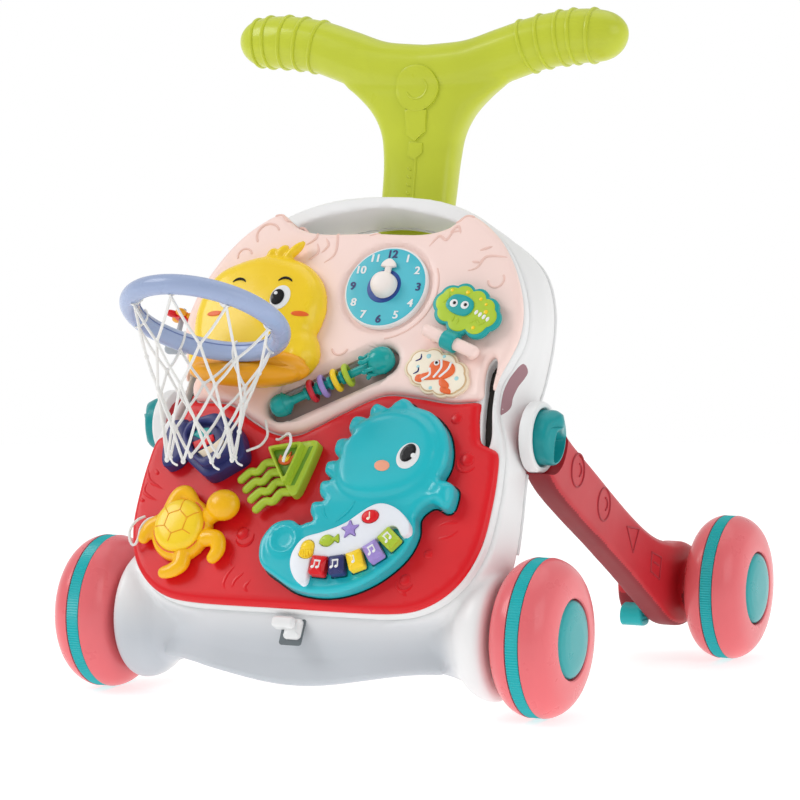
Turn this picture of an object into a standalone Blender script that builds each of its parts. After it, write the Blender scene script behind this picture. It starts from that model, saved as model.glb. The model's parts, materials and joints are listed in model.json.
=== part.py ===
"""Push-along baby walker: folding rear legs, a Y handle and a lift-off activity panel.

World frame: metres, +Z up, the walker rolls towards -Y, X = 0 is its plane of symmetry,
Z = 0 is the floor.  Most of the toys lie on the leaning activity panel, so they are drawn
in the panel's own frame: x across, y up the panel, z out of its face.
"""
import math

import bmesh
import bpy
from mathutils import Matrix, Vector

# ---------------------------------------------------------------- driving dimensions (m)
GAP = 0.0004                 # clearance between separate pieces
WHEEL_RADIUS = 0.055
WHEEL_HALF_WIDTH = 0.0232
FRONT_AXLE_Y = -0.1360
WHEELBASE = 0.319
FRONT_WHEEL_X = 0.169        # centre of a front wheel
REAR_WHEEL_X = 0.190
AXLE_RADIUS = 0.0030
BORE_RADIUS = 0.0034
CAP_RADIUS = 0.0270

PANEL_LEAN = math.radians(28.0)          # from upright
PANEL_ORIGIN = (0.0, FRONT_AXLE_Y - 0.0476, 0.0571)
FRAME_DEPTH = 0.034          # frame shell, behind the panel's origin plane
WALL = 0.003
TRAY_TOP = 0.0080            # white base of the activity panel
FACE = 0.0140                # face of the coloured covers
COVER_SEAM = 0.0014

HINGE_Y, HINGE_Z = 0.050, 0.187          # leg pivot, from the front axle and the floor
HINGE_RADIUS = 0.0250
LEG_INNER_X, LEG_OUTER_X = 0.1365, 0.1565
HUB_X = 0.1480               # inner face of the pivot cover
PIN_RADIUS, PIN_HOLE_RADIUS = 0.0050, 0.0054

HOOP_CENTRE = (-0.064, 0.187, 0.100)     # panel frame
HOOP_RADIUS = 0.0536
HOOP_TUBE = 0.0070
NET_DROP = 0.098

STEM_HALF_WIDTH = 0.0240
STEM_HALF_DEPTH = 0.0125
STEM_H = -0.0535             # centre of the stem behind the panel's origin plane

COLOURS = {
    "white": (0.90, 0.89, 0.87), "pink": (0.93, 0.76, 0.70), "red": (0.78, 0.05, 0.06),
    "coral": (0.80, 0.16, 0.15), "teal": (0.03, 0.42, 0.42), "lime": (0.52, 0.61, 0.04),
    "leg_red": (0.55, 0.05, 0.06), "yellow": (0.93, 0.66, 0.04), "orange": (0.90, 0.33, 0.02),
    "lilac": (0.30, 0.36, 0.66), "navy": (0.05, 0.06, 0.22), "green": (0.25, 0.50, 0.04),
    "sea": (0.05, 0.46, 0.55), "steel": (0.60, 0.61, 0.62), "grey": (0.45, 0.47, 0.50),
    "cord": (0.88, 0.87, 0.85), "purple": (0.42, 0.32, 0.66), "sky": (0.10, 0.50, 0.60),
}

# ---------------------------------------------------------------- clean scene, collections
for old in list(bpy.data.objects):
    bpy.data.objects.remove(old, do_unlink=True)
PARTS = bpy.data.collections.new("baby_walker")
TOOLS = bpy.data.collections.new("cutters")
for group in (PARTS, TOOLS):
    bpy.context.scene.collection.children.link(group)


def material(slot):
    """The slot's plastic or metal, made once."""
    found = bpy.data.materials.get(slot)
    if found:
        return found
    made = bpy.data.materials.new(slot)
    made.use_nodes = True
    shader = made.node_tree.nodes["Principled BSDF"]
    shader.inputs["Base Color"].default_value = (*COLOURS[slot], 1.0)
    shader.inputs["Roughness"].default_value = 0.25 if slot == "steel" else 0.38
    shader.inputs["Metallic"].default_value = 1.0 if slot == "steel" else 0.0
    return made


def empty(name, location, rotation=None, parent=None):
    """A named reference frame."""
    made = bpy.data.objects.new(name, None)
    made.empty_display_size = 0.02
    made.location = location
    if rotation is not None:
        made.rotation_euler = rotation
    made.parent = parent
    PARTS.objects.link(made)
    return made


PANEL = empty("panel_frame", PANEL_ORIGIN, (math.pi / 2 - PANEL_LEAN, 0.0, 0.0))
SIDE_TURN = Matrix(((0, 0, 1), (1, 0, 0), (0, 1, 0)))     # x along Y, y along Z, z along X
SIDE = empty("side_frame", (0.0, FRONT_AXLE_Y, 0.0), SIDE_TURN.to_euler())


def place(name, mesh, slot, parent, origin, tool=False):
    """Put a mesh drawn in its parent's frame on an object whose origin is its pivot."""
    mesh.transform(Matrix.Translation(-Vector(origin)))
    made = bpy.data.objects.new(name, mesh)
    made.parent = parent
    made.location = origin
    if tool:
        TOOLS.objects.link(made)
        made.hide_render = True
        made.display_type = "WIRE"
    else:
        made.data.materials.append(material(slot))
        PARTS.objects.link(made)
    return made


def tidy_mesh(mesh, smooth=40.0):
    """Weld a mesh, turn its faces out and shade it."""
    work = bmesh.new()
    work.from_mesh(mesh)
    bmesh.ops.remove_doubles(work, verts=work.verts, dist=1e-6)
    bmesh.ops.recalc_face_normals(work, faces=work.faces)
    work.to_mesh(mesh)
    work.free()
    mesh.shade_smooth()
    mesh.set_sharp_from_angle(angle=math.radians(smooth))
    return mesh


def curve_mesh(curve):
    """The closed mesh of a bevelled or filled curve."""
    holder = bpy.data.objects.new("curve", curve)
    PARTS.objects.link(holder)
    bpy.context.view_layer.update()
    graph = bpy.context.evaluated_depsgraph_get()
    mesh = bpy.data.meshes.new_from_object(holder.evaluated_get(graph))
    bpy.data.objects.remove(holder, do_unlink=True)
    bpy.data.curves.remove(curve)
    return tidy_mesh(mesh)


def slab(name, points, low, high, slot, parent=PANEL, edge=0.0015, origin=(0, 0, 0),
         smooth=True, detail=1, tool=False):
    """A flat outline given thickness from low to high, with rounded edges."""
    curve = bpy.data.curves.new(name, "CURVE")
    curve.dimensions = "2D"
    curve.fill_mode = "BOTH"
    curve.resolution_u = detail
    curve.bevel_depth = edge
    curve.bevel_resolution = 1 if edge > 0.005 else 0
    curve.offset = -edge
    curve.extrude = (high - low) / 2 - edge
    line = curve.splines.new("BEZIER")
    line.bezier_points.add(len(points) - 1)
    for knot, (x, y) in zip(line.bezier_points, points):
        knot.co = (x, y, 0)
        knot.handle_left_type = knot.handle_right_type = "AUTO" if smooth else "VECTOR"
    line.use_cyclic_u = True
    mesh = curve_mesh(curve)
    mesh.transform(Matrix.Translation((0, 0, (low + high) / 2)))
    return place(name, mesh, slot, parent, origin, tool)


def turned(name, profile, centre, axis, slot, parent=None, segments=24, tool=False):
    """A turned solid: (radius, height) points down its outer side, about the axis."""
    mesh = bpy.data.meshes.new(name)
    work = bmesh.new()
    ring = [work.verts.new((radius, 0.0, height)) for radius, height in profile]
    for first, second in zip(ring, ring[1:]):
        work.edges.new((first, second))
    if profile[0][0] > 0 and profile[-1][0] > 0:
        work.edges.new((ring[-1], ring[0]))
    bmesh.ops.spin(work, geom=work.verts[:] + work.edges[:], cent=(0, 0, 0), axis=(0, 0, 1),
                   angle=math.tau, steps=segments, use_merge=True, dvec=(0, 0, 0))
    work.to_mesh(mesh)
    work.free()
    turn = Vector((0, 0, 1)).rotation_difference(Vector(axis)).to_matrix().to_4x4()
    tidy_mesh(mesh)
    mesh.transform(Matrix.Translation(centre) @ turn)
    return place(name, mesh, slot, parent, centre, tool)


def rod(name, start, end, radius, slot, parent=None, segments=12, tool=False):
    """A plain round bar between two points."""
    start, end = Vector(start), Vector(end)
    half = (end - start).length / 2
    outline = [(0.0, half), (radius, half), (radius, -half), (0.0, -half)]
    return turned(name, outline, (start + end) / 2, (end - start).normalized(), slot, parent,
                  segments, tool)


def across_x(side, inner, outer, y, z):
    """The two ends of a line along X on one side of the walker."""
    return Vector((side * inner, y, z)), Vector((side * outer, y, z))


def boolean(target, tool, operation="DIFFERENCE"):
    """Cut a hidden tool out of a part, or add it."""
    step = target.modifiers.new(tool.name, "BOOLEAN")
    step.operation = operation
    step.solver = "EXACT"
    step.object = tool
    return target


def box_outline(x0, y0, x1, y1):
    return [(x0, y0), (x1, y0), (x1, y1), (x0, y1)]


def circle(x, y, radius, count=20):
    turn = [math.tau * step / count for step in range(count)]
    return [(x + radius * math.cos(a), y + radius * math.sin(a)) for a in turn]


def mirrored(half):
    """Close a right-hand half outline, top to bottom, with its left-hand twin."""
    left = [(-x, y) for x, y in reversed(half) if x > 1e-6]
    return list(half) + left


def inset(points, distance):
    """The outline moved inwards by distance."""
    moved = []
    count = len(points)
    area = sum(points[i][0] * points[(i + 1) % count][1] - points[(i + 1) % count][0] * points[i][1]
               for i in range(count))
    sign = 1.0 if area > 0 else -1.0
    for i, (x, y) in enumerate(points):
        before, after = points[i - 1], points[(i + 1) % count]
        dx, dy = after[0] - before[0], after[1] - before[1]
        size = math.hypot(dx, dy)
        moved.append((x - sign * dy / size * distance, y + sign * dx / size * distance))
    return moved


# ---------------------------------------------------------------- frame
FRAME_HALF = [(0.0, 0.338), (0.040, 0.335), (0.075, 0.323), (0.103, 0.306), (0.122, 0.286),
              (0.1315, 0.262), (0.1335, 0.235), (0.1330, 0.205), (0.1320, 0.175),
              (0.1335, 0.145), (0.1390, 0.120), (0.1430, 0.090), (0.1430, 0.050),
              (0.1420, 0.010), (0.1200, -0.024), (0.070, -0.036), (0.0, -0.040)]
GRIP_SLOT = [(0.0, 0.304), (0.050, 0.303), (0.066, 0.306), (0.060, 0.313), (0.040, 0.320),
             (0.0, 0.326), (-0.040, 0.320), (-0.060, 0.313), (-0.066, 0.306), (-0.050, 0.303)]
FOOT_RADIUS = 0.046
FOOT_INNER_X, FOOT_OUTER_X = 0.1100, 0.1444


def frame_shell():
    """One white shell: rim, apron, carrying bar and the two axle feet."""
    outline = mirrored(FRAME_HALF)
    shell = slab("frame_shell", outline, -FRAME_DEPTH, 0.0, "white", edge=0.006, detail=2)
    cavity = slab("cut_cavity", inset(outline, WALL), -FRAME_DEPTH - 0.01, -WALL - 0.002, "white",
                  edge=0.0, tool=True)
    keep = slab("keep_slot_wall", inset(GRIP_SLOT, -WALL), -FRAME_DEPTH - 0.02, 0.01, "white",
                edge=0.0, tool=True)
    boolean(cavity, keep)
    boolean(shell, cavity)
    boolean(shell, slab("cut_slot", GRIP_SLOT, -FRAME_DEPTH - 0.02, 0.02, "white", edge=0.0,
                        tool=True))
    for side in (-1, 1):
        mid, half = (FOOT_INNER_X + FOOT_OUTER_X) / 2, (FOOT_OUTER_X - FOOT_INNER_X) / 2
        drum = [(0.0, half), (0.030, half), (0.041, half - 0.003), (FOOT_RADIUS, half - 0.010),
                (FOOT_RADIUS, -half + 0.014), (0.038, -half + 0.004), (0.024, -half), (0.0, -half)]
        foot = turned(f"add_foot_{side}", drum, (side * mid, FRONT_AXLE_Y, WHEEL_RADIUS),
                      (side, 0, 0), "white", tool=True)
        boolean(shell, foot, "UNION")
        hole = rod(f"cut_pivot_{side}", *across_x(side, 0.100, 0.170, FRONT_AXLE_Y + HINGE_Y, HINGE_Z),
                   PIN_HOLE_RADIUS, "white", tool=True)
        boolean(shell, hole)
    boolean(shell, rod("cut_axle", (-0.16, FRONT_AXLE_Y, WHEEL_RADIUS),
                       (0.16, FRONT_AXLE_Y, WHEEL_RADIUS), BORE_RADIUS, "white", tool=True))
    return shell


SOCKET_LOW, SOCKET_HIGH = 0.205, 0.320


COVER_THICKNESS = 0.0025


def rear_cover():
    """Flat back cover with the handle's socket moulded on it."""
    low, high = -FRAME_DEPTH - GAP - COVER_THICKNESS, -FRAME_DEPTH - GAP
    outline = inset(mirrored(FRAME_HALF), 0.004)
    cover = slab("rear_cover", outline, low, high, "white", edge=0.0008)
    width = STEM_HALF_WIDTH + GAP + WALL
    back = STEM_H - STEM_HALF_DEPTH - GAP - WALL
    outside = box_outline(-width, SOCKET_LOW - WALL - GAP, width, SOCKET_HIGH - 0.022)
    socket = slab("add_socket", outside, back, high - 0.001, "white", edge=0.0, smooth=False,
                  tool=True)
    boolean(cover, socket, "UNION")
    inner = STEM_HALF_WIDTH + GAP
    pocket = slab("cut_socket", box_outline(-inner, SOCKET_LOW - GAP, inner, SOCKET_HIGH + 0.02),
                  STEM_H - STEM_HALF_DEPTH - GAP, STEM_H + STEM_HALF_DEPTH + GAP, "white",
                  edge=0.0, smooth=False, tool=True)
    boolean(cover, pocket)
    for side in (-1, 1):
        notch = rod(f"cut_cover_foot_{side}", *across_x(side, 0.107, 0.155, FRONT_AXLE_Y, WHEEL_RADIUS),
                    FOOT_RADIUS + GAP, "white", segments=24, tool=True)
        boolean(cover, notch)
    return cover


def battery_door():
    """Screwed lid over the battery box, low on the back cover."""
    top = -FRAME_DEPTH - COVER_THICKNESS - 2 * GAP
    return slab("battery_door", box_outline(-0.040, 0.085, 0.040, 0.145), top - COVER_THICKNESS,
                top, "white", edge=0.0008, smooth=False)


def front_axle():
    reach = FRONT_WHEEL_X + 0.012
    return rod("front_axle", (-reach, FRONT_AXLE_Y, WHEEL_RADIUS),
               (reach, FRONT_AXLE_Y, WHEEL_RADIUS), AXLE_RADIUS, "steel", segments=16)


# ---------------------------------------------------------------- handle
def oval(centre, across, through, width, depth, count=12, power=2.6):
    """A ring of points on a rounded box of the given half sizes."""
    points = []
    for step in range(count):
        turn = math.tau * step / count
        c, s = math.cos(turn), math.sin(turn)
        x = math.copysign(abs(c) ** (2 / power), c) * width
        y = math.copysign(abs(s) ** (2 / power), s) * depth
        points.append(centre + across * x + through * y)
    return points


def loft(sections):
    """A closed mesh through rings of the same count."""
    work = bmesh.new()
    loops = [[work.verts.new(point) for point in section] for section in sections]
    for one, two in zip(loops, loops[1:]):
        for i in range(len(one)):
            j = (i + 1) % len(one)
            work.faces.new((one[i], one[j], two[j], two[i]))
    work.faces.new(list(reversed(loops[0])))
    work.faces.new(loops[-1])
    mesh = bpy.data.meshes.new("loft")
    work.to_mesh(mesh)
    work.free()
    return tidy_mesh(mesh)


# From the front axle: height, set-back, half width and half depth of the stem above its socket
STEM_RINGS = ((0.356, 0.164, 0.0245, 0.0150), (0.385, 0.172, 0.0275, 0.0165),
              (0.410, 0.176, 0.0340, 0.0175), (0.434, 0.177, 0.0440, 0.0180),
              (0.450, 0.177, 0.0400, 0.0140))
# Half of the grip bar: distance from the middle, set-back, height, half height, half depth
GRIP_RINGS = ((0.000, 0.176, 0.4440, 0.0225, 0.0165), (0.036, 0.177, 0.4470, 0.0215, 0.0170),
              (0.066, 0.180, 0.4575, 0.0205, 0.0180), (0.092, 0.183, 0.4655, 0.0200, 0.0190),
              (0.120, 0.185, 0.4695, 0.0205, 0.0195), (0.142, 0.186, 0.4695, 0.0195, 0.0185),
              (0.153, 0.186, 0.4685, 0.0150, 0.0140), (0.159, 0.186, 0.4675, 0.0070, 0.0065))


def handle():
    """Y handle: flat stem in the socket, blending into a bar with two round grips."""
    panel = PANEL.matrix_world.copy()
    across, back = Vector((1, 0, 0)), Vector((0, 1, 0))
    lean = Vector((0, math.cos(PANEL_LEAN), -math.sin(PANEL_LEAN)))
    stem = [oval(panel @ Vector((0, v, STEM_H)), across, lean, STEM_HALF_WIDTH, STEM_HALF_DEPTH,
                 power=8) for v in (SOCKET_LOW, SOCKET_HIGH + 0.005)]
    for z, y, width, depth in STEM_RINGS:
        stem.append(oval(Vector((0, FRONT_AXLE_Y + y, z)), across, back, width, depth))
    body = place("handle", loft(stem), "lime", None, (0, FRONT_AXLE_Y + 0.175, 0.40))
    left = [(-x, y, z, tall, deep) for x, y, z, tall, deep in reversed(GRIP_RINGS[1:])]
    spine = left + list(GRIP_RINGS)
    sections = []
    for i, (x, y, z, tall, deep) in enumerate(spine):
        low, high = spine[max(i - 1, 0)], spine[min(i + 1, len(spine) - 1)]
        run = Vector((high[0] - low[0], high[1] - low[1], high[2] - low[2])).normalized()
        up = back.cross(-run).normalized()
        sections.append(oval(Vector((x, FRONT_AXLE_Y + y, z)), back, up, deep, tall, power=2.2))
    boolean(body, place("add_grips", loft(sections), "lime", None, (0, 0, 0), tool=True), "UNION")
    return body


# ---------------------------------------------------------------- wheels and axles
def wheel(name, side, x, y):
    """Coral wheel with a shallow recess for its teal hub cap."""
    steps = 4
    bulge = []
    for step in range(steps + 1):
        t = 1 - 2 * step / steps
        bulge.append((WHEEL_RADIUS * (0.62 + 0.38 * math.sqrt(1 - t * t)), WHEEL_HALF_WIDTH * t))
    recess = WHEEL_HALF_WIDTH - 0.006
    outer = [(CAP_RADIUS + GAP, recess), (CAP_RADIUS + GAP, WHEEL_HALF_WIDTH)]
    profile = [(BORE_RADIUS, recess)] + outer + bulge + [(BORE_RADIUS, -WHEEL_HALF_WIDTH)]
    turned(f"wheel_{name}", profile, (side * x, y, WHEEL_RADIUS), (side, 0, 0), "coral")
    cap = [(0.0, 0.0035), (0.016, 0.0030), (CAP_RADIUS - 0.002, 0.0018), (CAP_RADIUS, 0.0),
           (CAP_RADIUS, -0.003), (0.0, -0.003)]
    turned(f"hub_cap_{name}", cap, (side * (x + WHEEL_HALF_WIDTH - 0.0025), y, WHEEL_RADIUS),
           (side, 0, 0), "teal")


# ---------------------------------------------------------------- rear legs
LEG_OUTLINE = [(0.0250, 0.187), (0.0310, 0.204), (0.0480, 0.212), (0.0680, 0.206), (0.0790, 0.187),
               (0.130, 0.158), (0.201, 0.1205), (0.250, 0.0995), (0.290, 0.0905), (0.3190, 0.0880),
               (0.3430, 0.0780), (0.3520, 0.0560), (0.3430, 0.0340), (0.3190, 0.0240),
               (0.2870, 0.0290), (0.256, 0.0450), (0.206, 0.0720), (0.150, 0.1010),
               (0.098, 0.1270), (0.060, 0.1480), (0.0360, 0.1650)]


LEVER_Y, LEVER_Z = 0.283, 0.044
LEVER_PIN_RADIUS = 0.0020
COLLAR_RADIUS, DRUM_RADIUS = 0.0170, 0.0273


def leg(name, side):
    """Red leg: box-section arm, pocket for the pivot cover and a collar at the axle."""
    low, high = sorted((side * LEG_INNER_X, side * LEG_OUTER_X))
    arm = slab(f"rear_leg_{name}", LEG_OUTLINE, low, high, "leg_red", parent=SIDE, edge=0.0035,
               origin=(HINGE_Y, HINGE_Z, side * LEG_INNER_X))
    hinge, axle = (FRONT_AXLE_Y + HINGE_Y, HINGE_Z), (FRONT_AXLE_Y + WHEELBASE, WHEEL_RADIUS)
    lever = (FRONT_AXLE_Y + LEVER_Y, LEVER_Z)
    steps = (("cut_leg_cup", HUB_X - GAP, 0.170, hinge, HINGE_RADIUS + 0.0006, "DIFFERENCE"),
             ("cut_leg_pin", 0.120, 0.160, hinge, PIN_HOLE_RADIUS, "DIFFERENCE"),
             ("add_collar", 0.150, 0.1650, axle, COLLAR_RADIUS, "UNION"),
             ("add_drum", 0.1082, 0.1390, axle, DRUM_RADIUS, "UNION"),
             ("cut_leg_axle", 0.100, 0.180, axle, BORE_RADIUS, "DIFFERENCE"),
             ("cut_lever_pin", 0.130, 0.1455, lever, LEVER_PIN_RADIUS + GAP, "DIFFERENCE"))
    for label, inner, outer, centre, radius, operation in steps:
        tool = rod(f"{label}_{name}", *across_x(side, inner, outer, *centre), radius, "white",
                   segments=24 if radius > 0.01 else 12, tool=True)
        boolean(arm, tool, operation)
    return arm


def leg_fittings(name, side):
    """White pivot cover with its pin, lock knob, rear axle and speed lever."""
    axis = Vector((side, 0, 0))
    hinge = Vector((0, FRONT_AXLE_Y + HINGE_Y, HINGE_Z))
    cup_wall, floor_top, rim = 0.0024, 0.0030, 0.0110
    pin_end = 0.1100 - HUB_X
    cover = [(HINGE_RADIUS - cup_wall, rim), (HINGE_RADIUS, rim - 0.001), (HINGE_RADIUS, 0.0),
             (PIN_RADIUS, 0.0), (PIN_RADIUS, pin_end), (0.0, pin_end)]
    inner = [(0.0, floor_top), (HINGE_RADIUS - cup_wall, floor_top)]
    turned(f"pivot_cover_{name}", inner + cover, hinge + axis * HUB_X, (side, 0, 0), "white")
    knob_base = floor_top + GAP
    radius = HINGE_RADIUS - cup_wall - GAP
    knob = turned(f"lock_knob_{name}",
                  [(0.0, 0.0130), (0.011, 0.0125), (radius - 0.004, 0.0100), (radius, 0.0060),
                   (radius, 0.0), (0.0, 0.0)], hinge + axis * (HUB_X + knob_base), (side, 0, 0),
                  "teal")
    pocket = [(0.052, 0.186), (0.066, 0.182), (0.064, 0.172), (0.052, 0.168)]
    scoop = slab(f"cut_scoop_{name}", pocket, *sorted((side * (HUB_X + 0.008), side * 0.180)),
                 "teal", parent=SIDE, edge=0.0, tool=True)
    boolean(knob, scoop)
    axle = Vector((0, FRONT_AXLE_Y + WHEELBASE, WHEEL_RADIUS))
    rod(f"rear_axle_{name}", axle + axis * 0.1100, axle + axis * (REAR_WHEEL_X + 0.012),
        AXLE_RADIUS, "steel", segments=16)
    lever = [(0.2740, 0.0450), (0.2870, 0.0480), (0.2915, 0.0350), (0.2900, 0.0270),
             (0.2780, 0.0270), (0.2720, 0.0330)]
    tab = slab(f"speed_lever_{name}", lever, *sorted((side * 0.114, side * 0.134)), "teal",
               parent=SIDE, edge=0.0012, origin=(LEVER_Y, LEVER_Z, side * 0.124))
    pin = across_x(side, 0.130, 0.1450, FRONT_AXLE_Y + LEVER_Y, LEVER_Z)
    boolean(tab, rod(f"add_lever_pin_{name}", *pin, LEVER_PIN_RADIUS, "teal", tool=True), "UNION")


# ---------------------------------------------------------------- activity panel
SIDE_LINE = [(0.076, 0.3150), (0.097, 0.3020), (0.1130, 0.2830), (0.1250, 0.2600),
             (0.1315, 0.2390), (0.1320, 0.2190), (0.1270, 0.2020), (0.1215, 0.1850)]
LOWER_LINE = [(0.1245, 0.1640), (0.1330, 0.1430), (0.1365, 0.1220), (0.1380, 0.0950),
              (0.1360, 0.0630), (0.1250, 0.0360), (0.1040, 0.0180), (0.0750, 0.0110), (0.0, 0.0105)]
TOP_LINE = [(0.0, 0.2990), (0.040, 0.2985), (0.060, 0.3035)]
SEAM = [(-0.1205, 0.1655), (-0.108, 0.1640), (-0.082, 0.1630), (-0.061, 0.1510),
        (-0.040, 0.1415), (-0.022, 0.1410), (-0.008, 0.1480), (0.010, 0.1590), (0.038, 0.1730),
        (0.066, 0.1720), (0.090, 0.1690), (0.108, 0.1705), (0.1195, 0.1740)]
BEAD_A, BEAD_B = Vector((-0.037, 0.161)), Vector((0.033, 0.198))
BEAD_H = 0.0150
WAIST_SLOT = [(0.1130, 0.196), (0.1160, 0.203), (0.1195, 0.199), (0.1190, 0.184), (0.1205, 0.166),
              (0.1245, 0.146), (0.1235, 0.137), (0.1195, 0.139), (0.1160, 0.156), (0.1140, 0.176)]


def panel():
    """White tray with a pink upper and a red lower cover, and two finger slots."""
    outline = mirrored(TOP_LINE + SIDE_LINE + LOWER_LINE)
    tray = slab("panel_tray", outline, GAP, TRAY_TOP, "white", edge=0.0015)
    inner_right = inset(outline, 0.0012)
    waist, base = len(TOP_LINE) + len(SIDE_LINE), len(TOP_LINE + SIDE_LINE + LOWER_LINE)
    top, upper_side = inner_right[:len(TOP_LINE)], inner_right[len(TOP_LINE):waist]
    lower_side = inner_right[waist:base]
    upper = ([(-x, y) for x, y in reversed(top) if x > 1e-6] + top + upper_side
             + [(x, y + COVER_SEAM / 2) for x, y in reversed(SEAM)]
             + [(-x, y) for x, y in reversed(upper_side)])
    lower = ([(x, y - COVER_SEAM / 2) for x, y in SEAM] + lower_side
             + [(-x, y) for x, y in reversed(lower_side) if x > 0.001])
    low = TRAY_TOP + GAP
    pink = slab("panel_upper", upper, low, FACE, "pink", edge=0.0020)
    red = slab("panel_lower", lower, low, FACE, "red", edge=0.0020)
    along = (BEAD_B - BEAD_A).normalized()
    normal = Vector((-along.y, along.x))
    half, arc = 0.0115, 6
    capsule = []
    for end, start in ((BEAD_A, 1.5 * math.pi), (BEAD_B, 0.5 * math.pi)):
        for step in range(arc + 1):
            a = start - math.pi * step / arc
            point = end + along * (half * math.cos(a)) + normal * (half * math.sin(a))
            capsule.append((point.x, point.y))
    boolean(pink, slab("cut_bead_recess", capsule, TRAY_TOP - 0.002, 0.03, "pink", edge=0.0,
                       smooth=False, tool=True))
    boolean(tray, slab("cut_tray_recess", capsule, 0.0030, 0.03, "pink", edge=0.0,
                       smooth=False, tool=True))
    for side in (-1, 1):
        slot = [(side * x, y) for x, y in WAIST_SLOT]
        for piece in (tray, pink, red):
            boolean(piece, slab(f"cut_waist_{side}_{piece.name}", slot, -0.01, 0.03, "pink",
                                edge=0.0, tool=True))
    return tray


def latch():
    """Push-down latch that frees the panel."""
    return slab("release_latch", box_outline(-0.0095, -0.0085, 0.0095, 0.0085), GAP, 0.0075,
                "white", edge=0.0012, smooth=False)


# ---------------------------------------------------------------- duck, hoop and net
DUCK = [(-0.056, 0.267), (-0.036, 0.263), (-0.021, 0.249), (-0.016, 0.230), (-0.011, 0.214),
        (-0.011, 0.200), (-0.019, 0.187), (-0.040, 0.176), (-0.060, 0.1705), (-0.082, 0.173),
        (-0.101, 0.184), (-0.109, 0.200), (-0.108, 0.216), (-0.101, 0.230), (-0.094, 0.248),
        (-0.077, 0.262)]
BEAK_H = 0.0360
SLOT_FLOOR = 0.0385
LIP_TOP = 0.0470


def duck_hoop():
    slab("duck_head", DUCK, FACE + GAP, BEAK_H - GAP, "yellow", edge=0.007)
    cx, cy, ch = HOOP_CENTRE
    beak_outline = [(cx + 0.047 * math.cos(turn), cy + 0.0145 * math.sin(turn))
                    for turn in (math.tau * step / 24 for step in range(24))]
    beak = slab("duck_beak", beak_outline, BEAK_H, LIP_TOP, "orange", edge=0.002, smooth=False)
    mouth = HOOP_TUBE + 0.0008
    boolean(beak, slab("cut_mouth", box_outline(cx - 0.06, cy - mouth, cx + 0.06, cy + mouth),
                       SLOT_FLOOR, 0.08, "orange", edge=0.0, smooth=False, tool=True))
    ring = bpy.data.curves.new("hoop", "CURVE")
    ring.dimensions = "3D"
    ring.bevel_depth = HOOP_TUBE
    ring.bevel_resolution = 1
    line = ring.splines.new("POLY")
    count = 32
    line.points.add(count - 1)
    for step, knot in enumerate(line.points):
        a = math.tau * step / count
        knot.co = (cx + HOOP_RADIUS * math.cos(a), cy, ch + HOOP_RADIUS * math.sin(a), 1)
    line.use_cyclic_u = True
    place("hoop", curve_mesh(ring), "lilac", PANEL, (cx, cy, ch))


def net():
    """Sleeve of the net: a loft from under the hoop to its small open end."""
    panel = PANEL.matrix_world.copy()
    cx, cy, ch = HOOP_CENTRE
    centre = panel @ Vector((cx, cy - HOOP_TUBE - 0.0018, ch))
    out = (panel.to_3x3() @ Vector((0, 0, 1))).normalized()
    top_radius, low_radius, rows, count = 0.0500, 0.0240, 4, 18
    low_centre = centre + Vector((0, -0.003, -NET_DROP + 0.008))
    work = bmesh.new()
    loops = []
    for row in range(rows + 1):
        t = row / rows
        loop = []
        for step in range(count):
            a = math.tau * step / count
            top = centre + (Vector((1, 0, 0)) * math.cos(a) + out * math.sin(a)) * top_radius
            low = low_centre + Vector((math.cos(a), -math.sin(a), 0)) * low_radius
            narrow = 1 - (1 - t) ** 1.6
            point = Vector((top.x + (low.x - top.x) * narrow, top.y + (low.y - top.y) * narrow,
                            top.z + (low.z - top.z) * t))
            loop.append(work.verts.new(point))
        loops.append(loop)
    for one, two in zip(loops, loops[1:]):
        for i in range(count):
            j = (i + 1) % count
            work.faces.new((one[i], one[j], two[j], two[i]))
    bmesh.ops.recalc_face_normals(work, faces=work.faces)
    mesh = bpy.data.meshes.new("net")
    work.to_mesh(mesh)
    work.free()
    mesh.shade_smooth()
    sleeve = place("net", mesh, "cord", None, centre)
    skin = sleeve.modifiers.new("thickness", "SOLIDIFY")
    skin.thickness = 0.0012
    skin.offset = 0.0


# ---------------------------------------------------------------- toys on the panel
DIAL = (0.025, 0.255)
DIAL_RADIUS = 0.0330
BAR_A, BAR_B = Vector((0.067, 0.218)), Vector((0.104, 0.203))
BAR_H = 0.0215


def clock():
    slab("clock_dial", circle(*DIAL, DIAL_RADIUS, 32), FACE + GAP, 0.0170, "sky", edge=0.0008,
         smooth=False)
    turned("clock_knob", [(0.0, 0.0100), (0.006, 0.0095), (0.0088, 0.0075), (0.0095, 0.0),
                          (0.0, 0.0)], (*DIAL, 0.0170 + GAP), (0, 0, 1), "pink", PANEL, 20)


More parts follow.
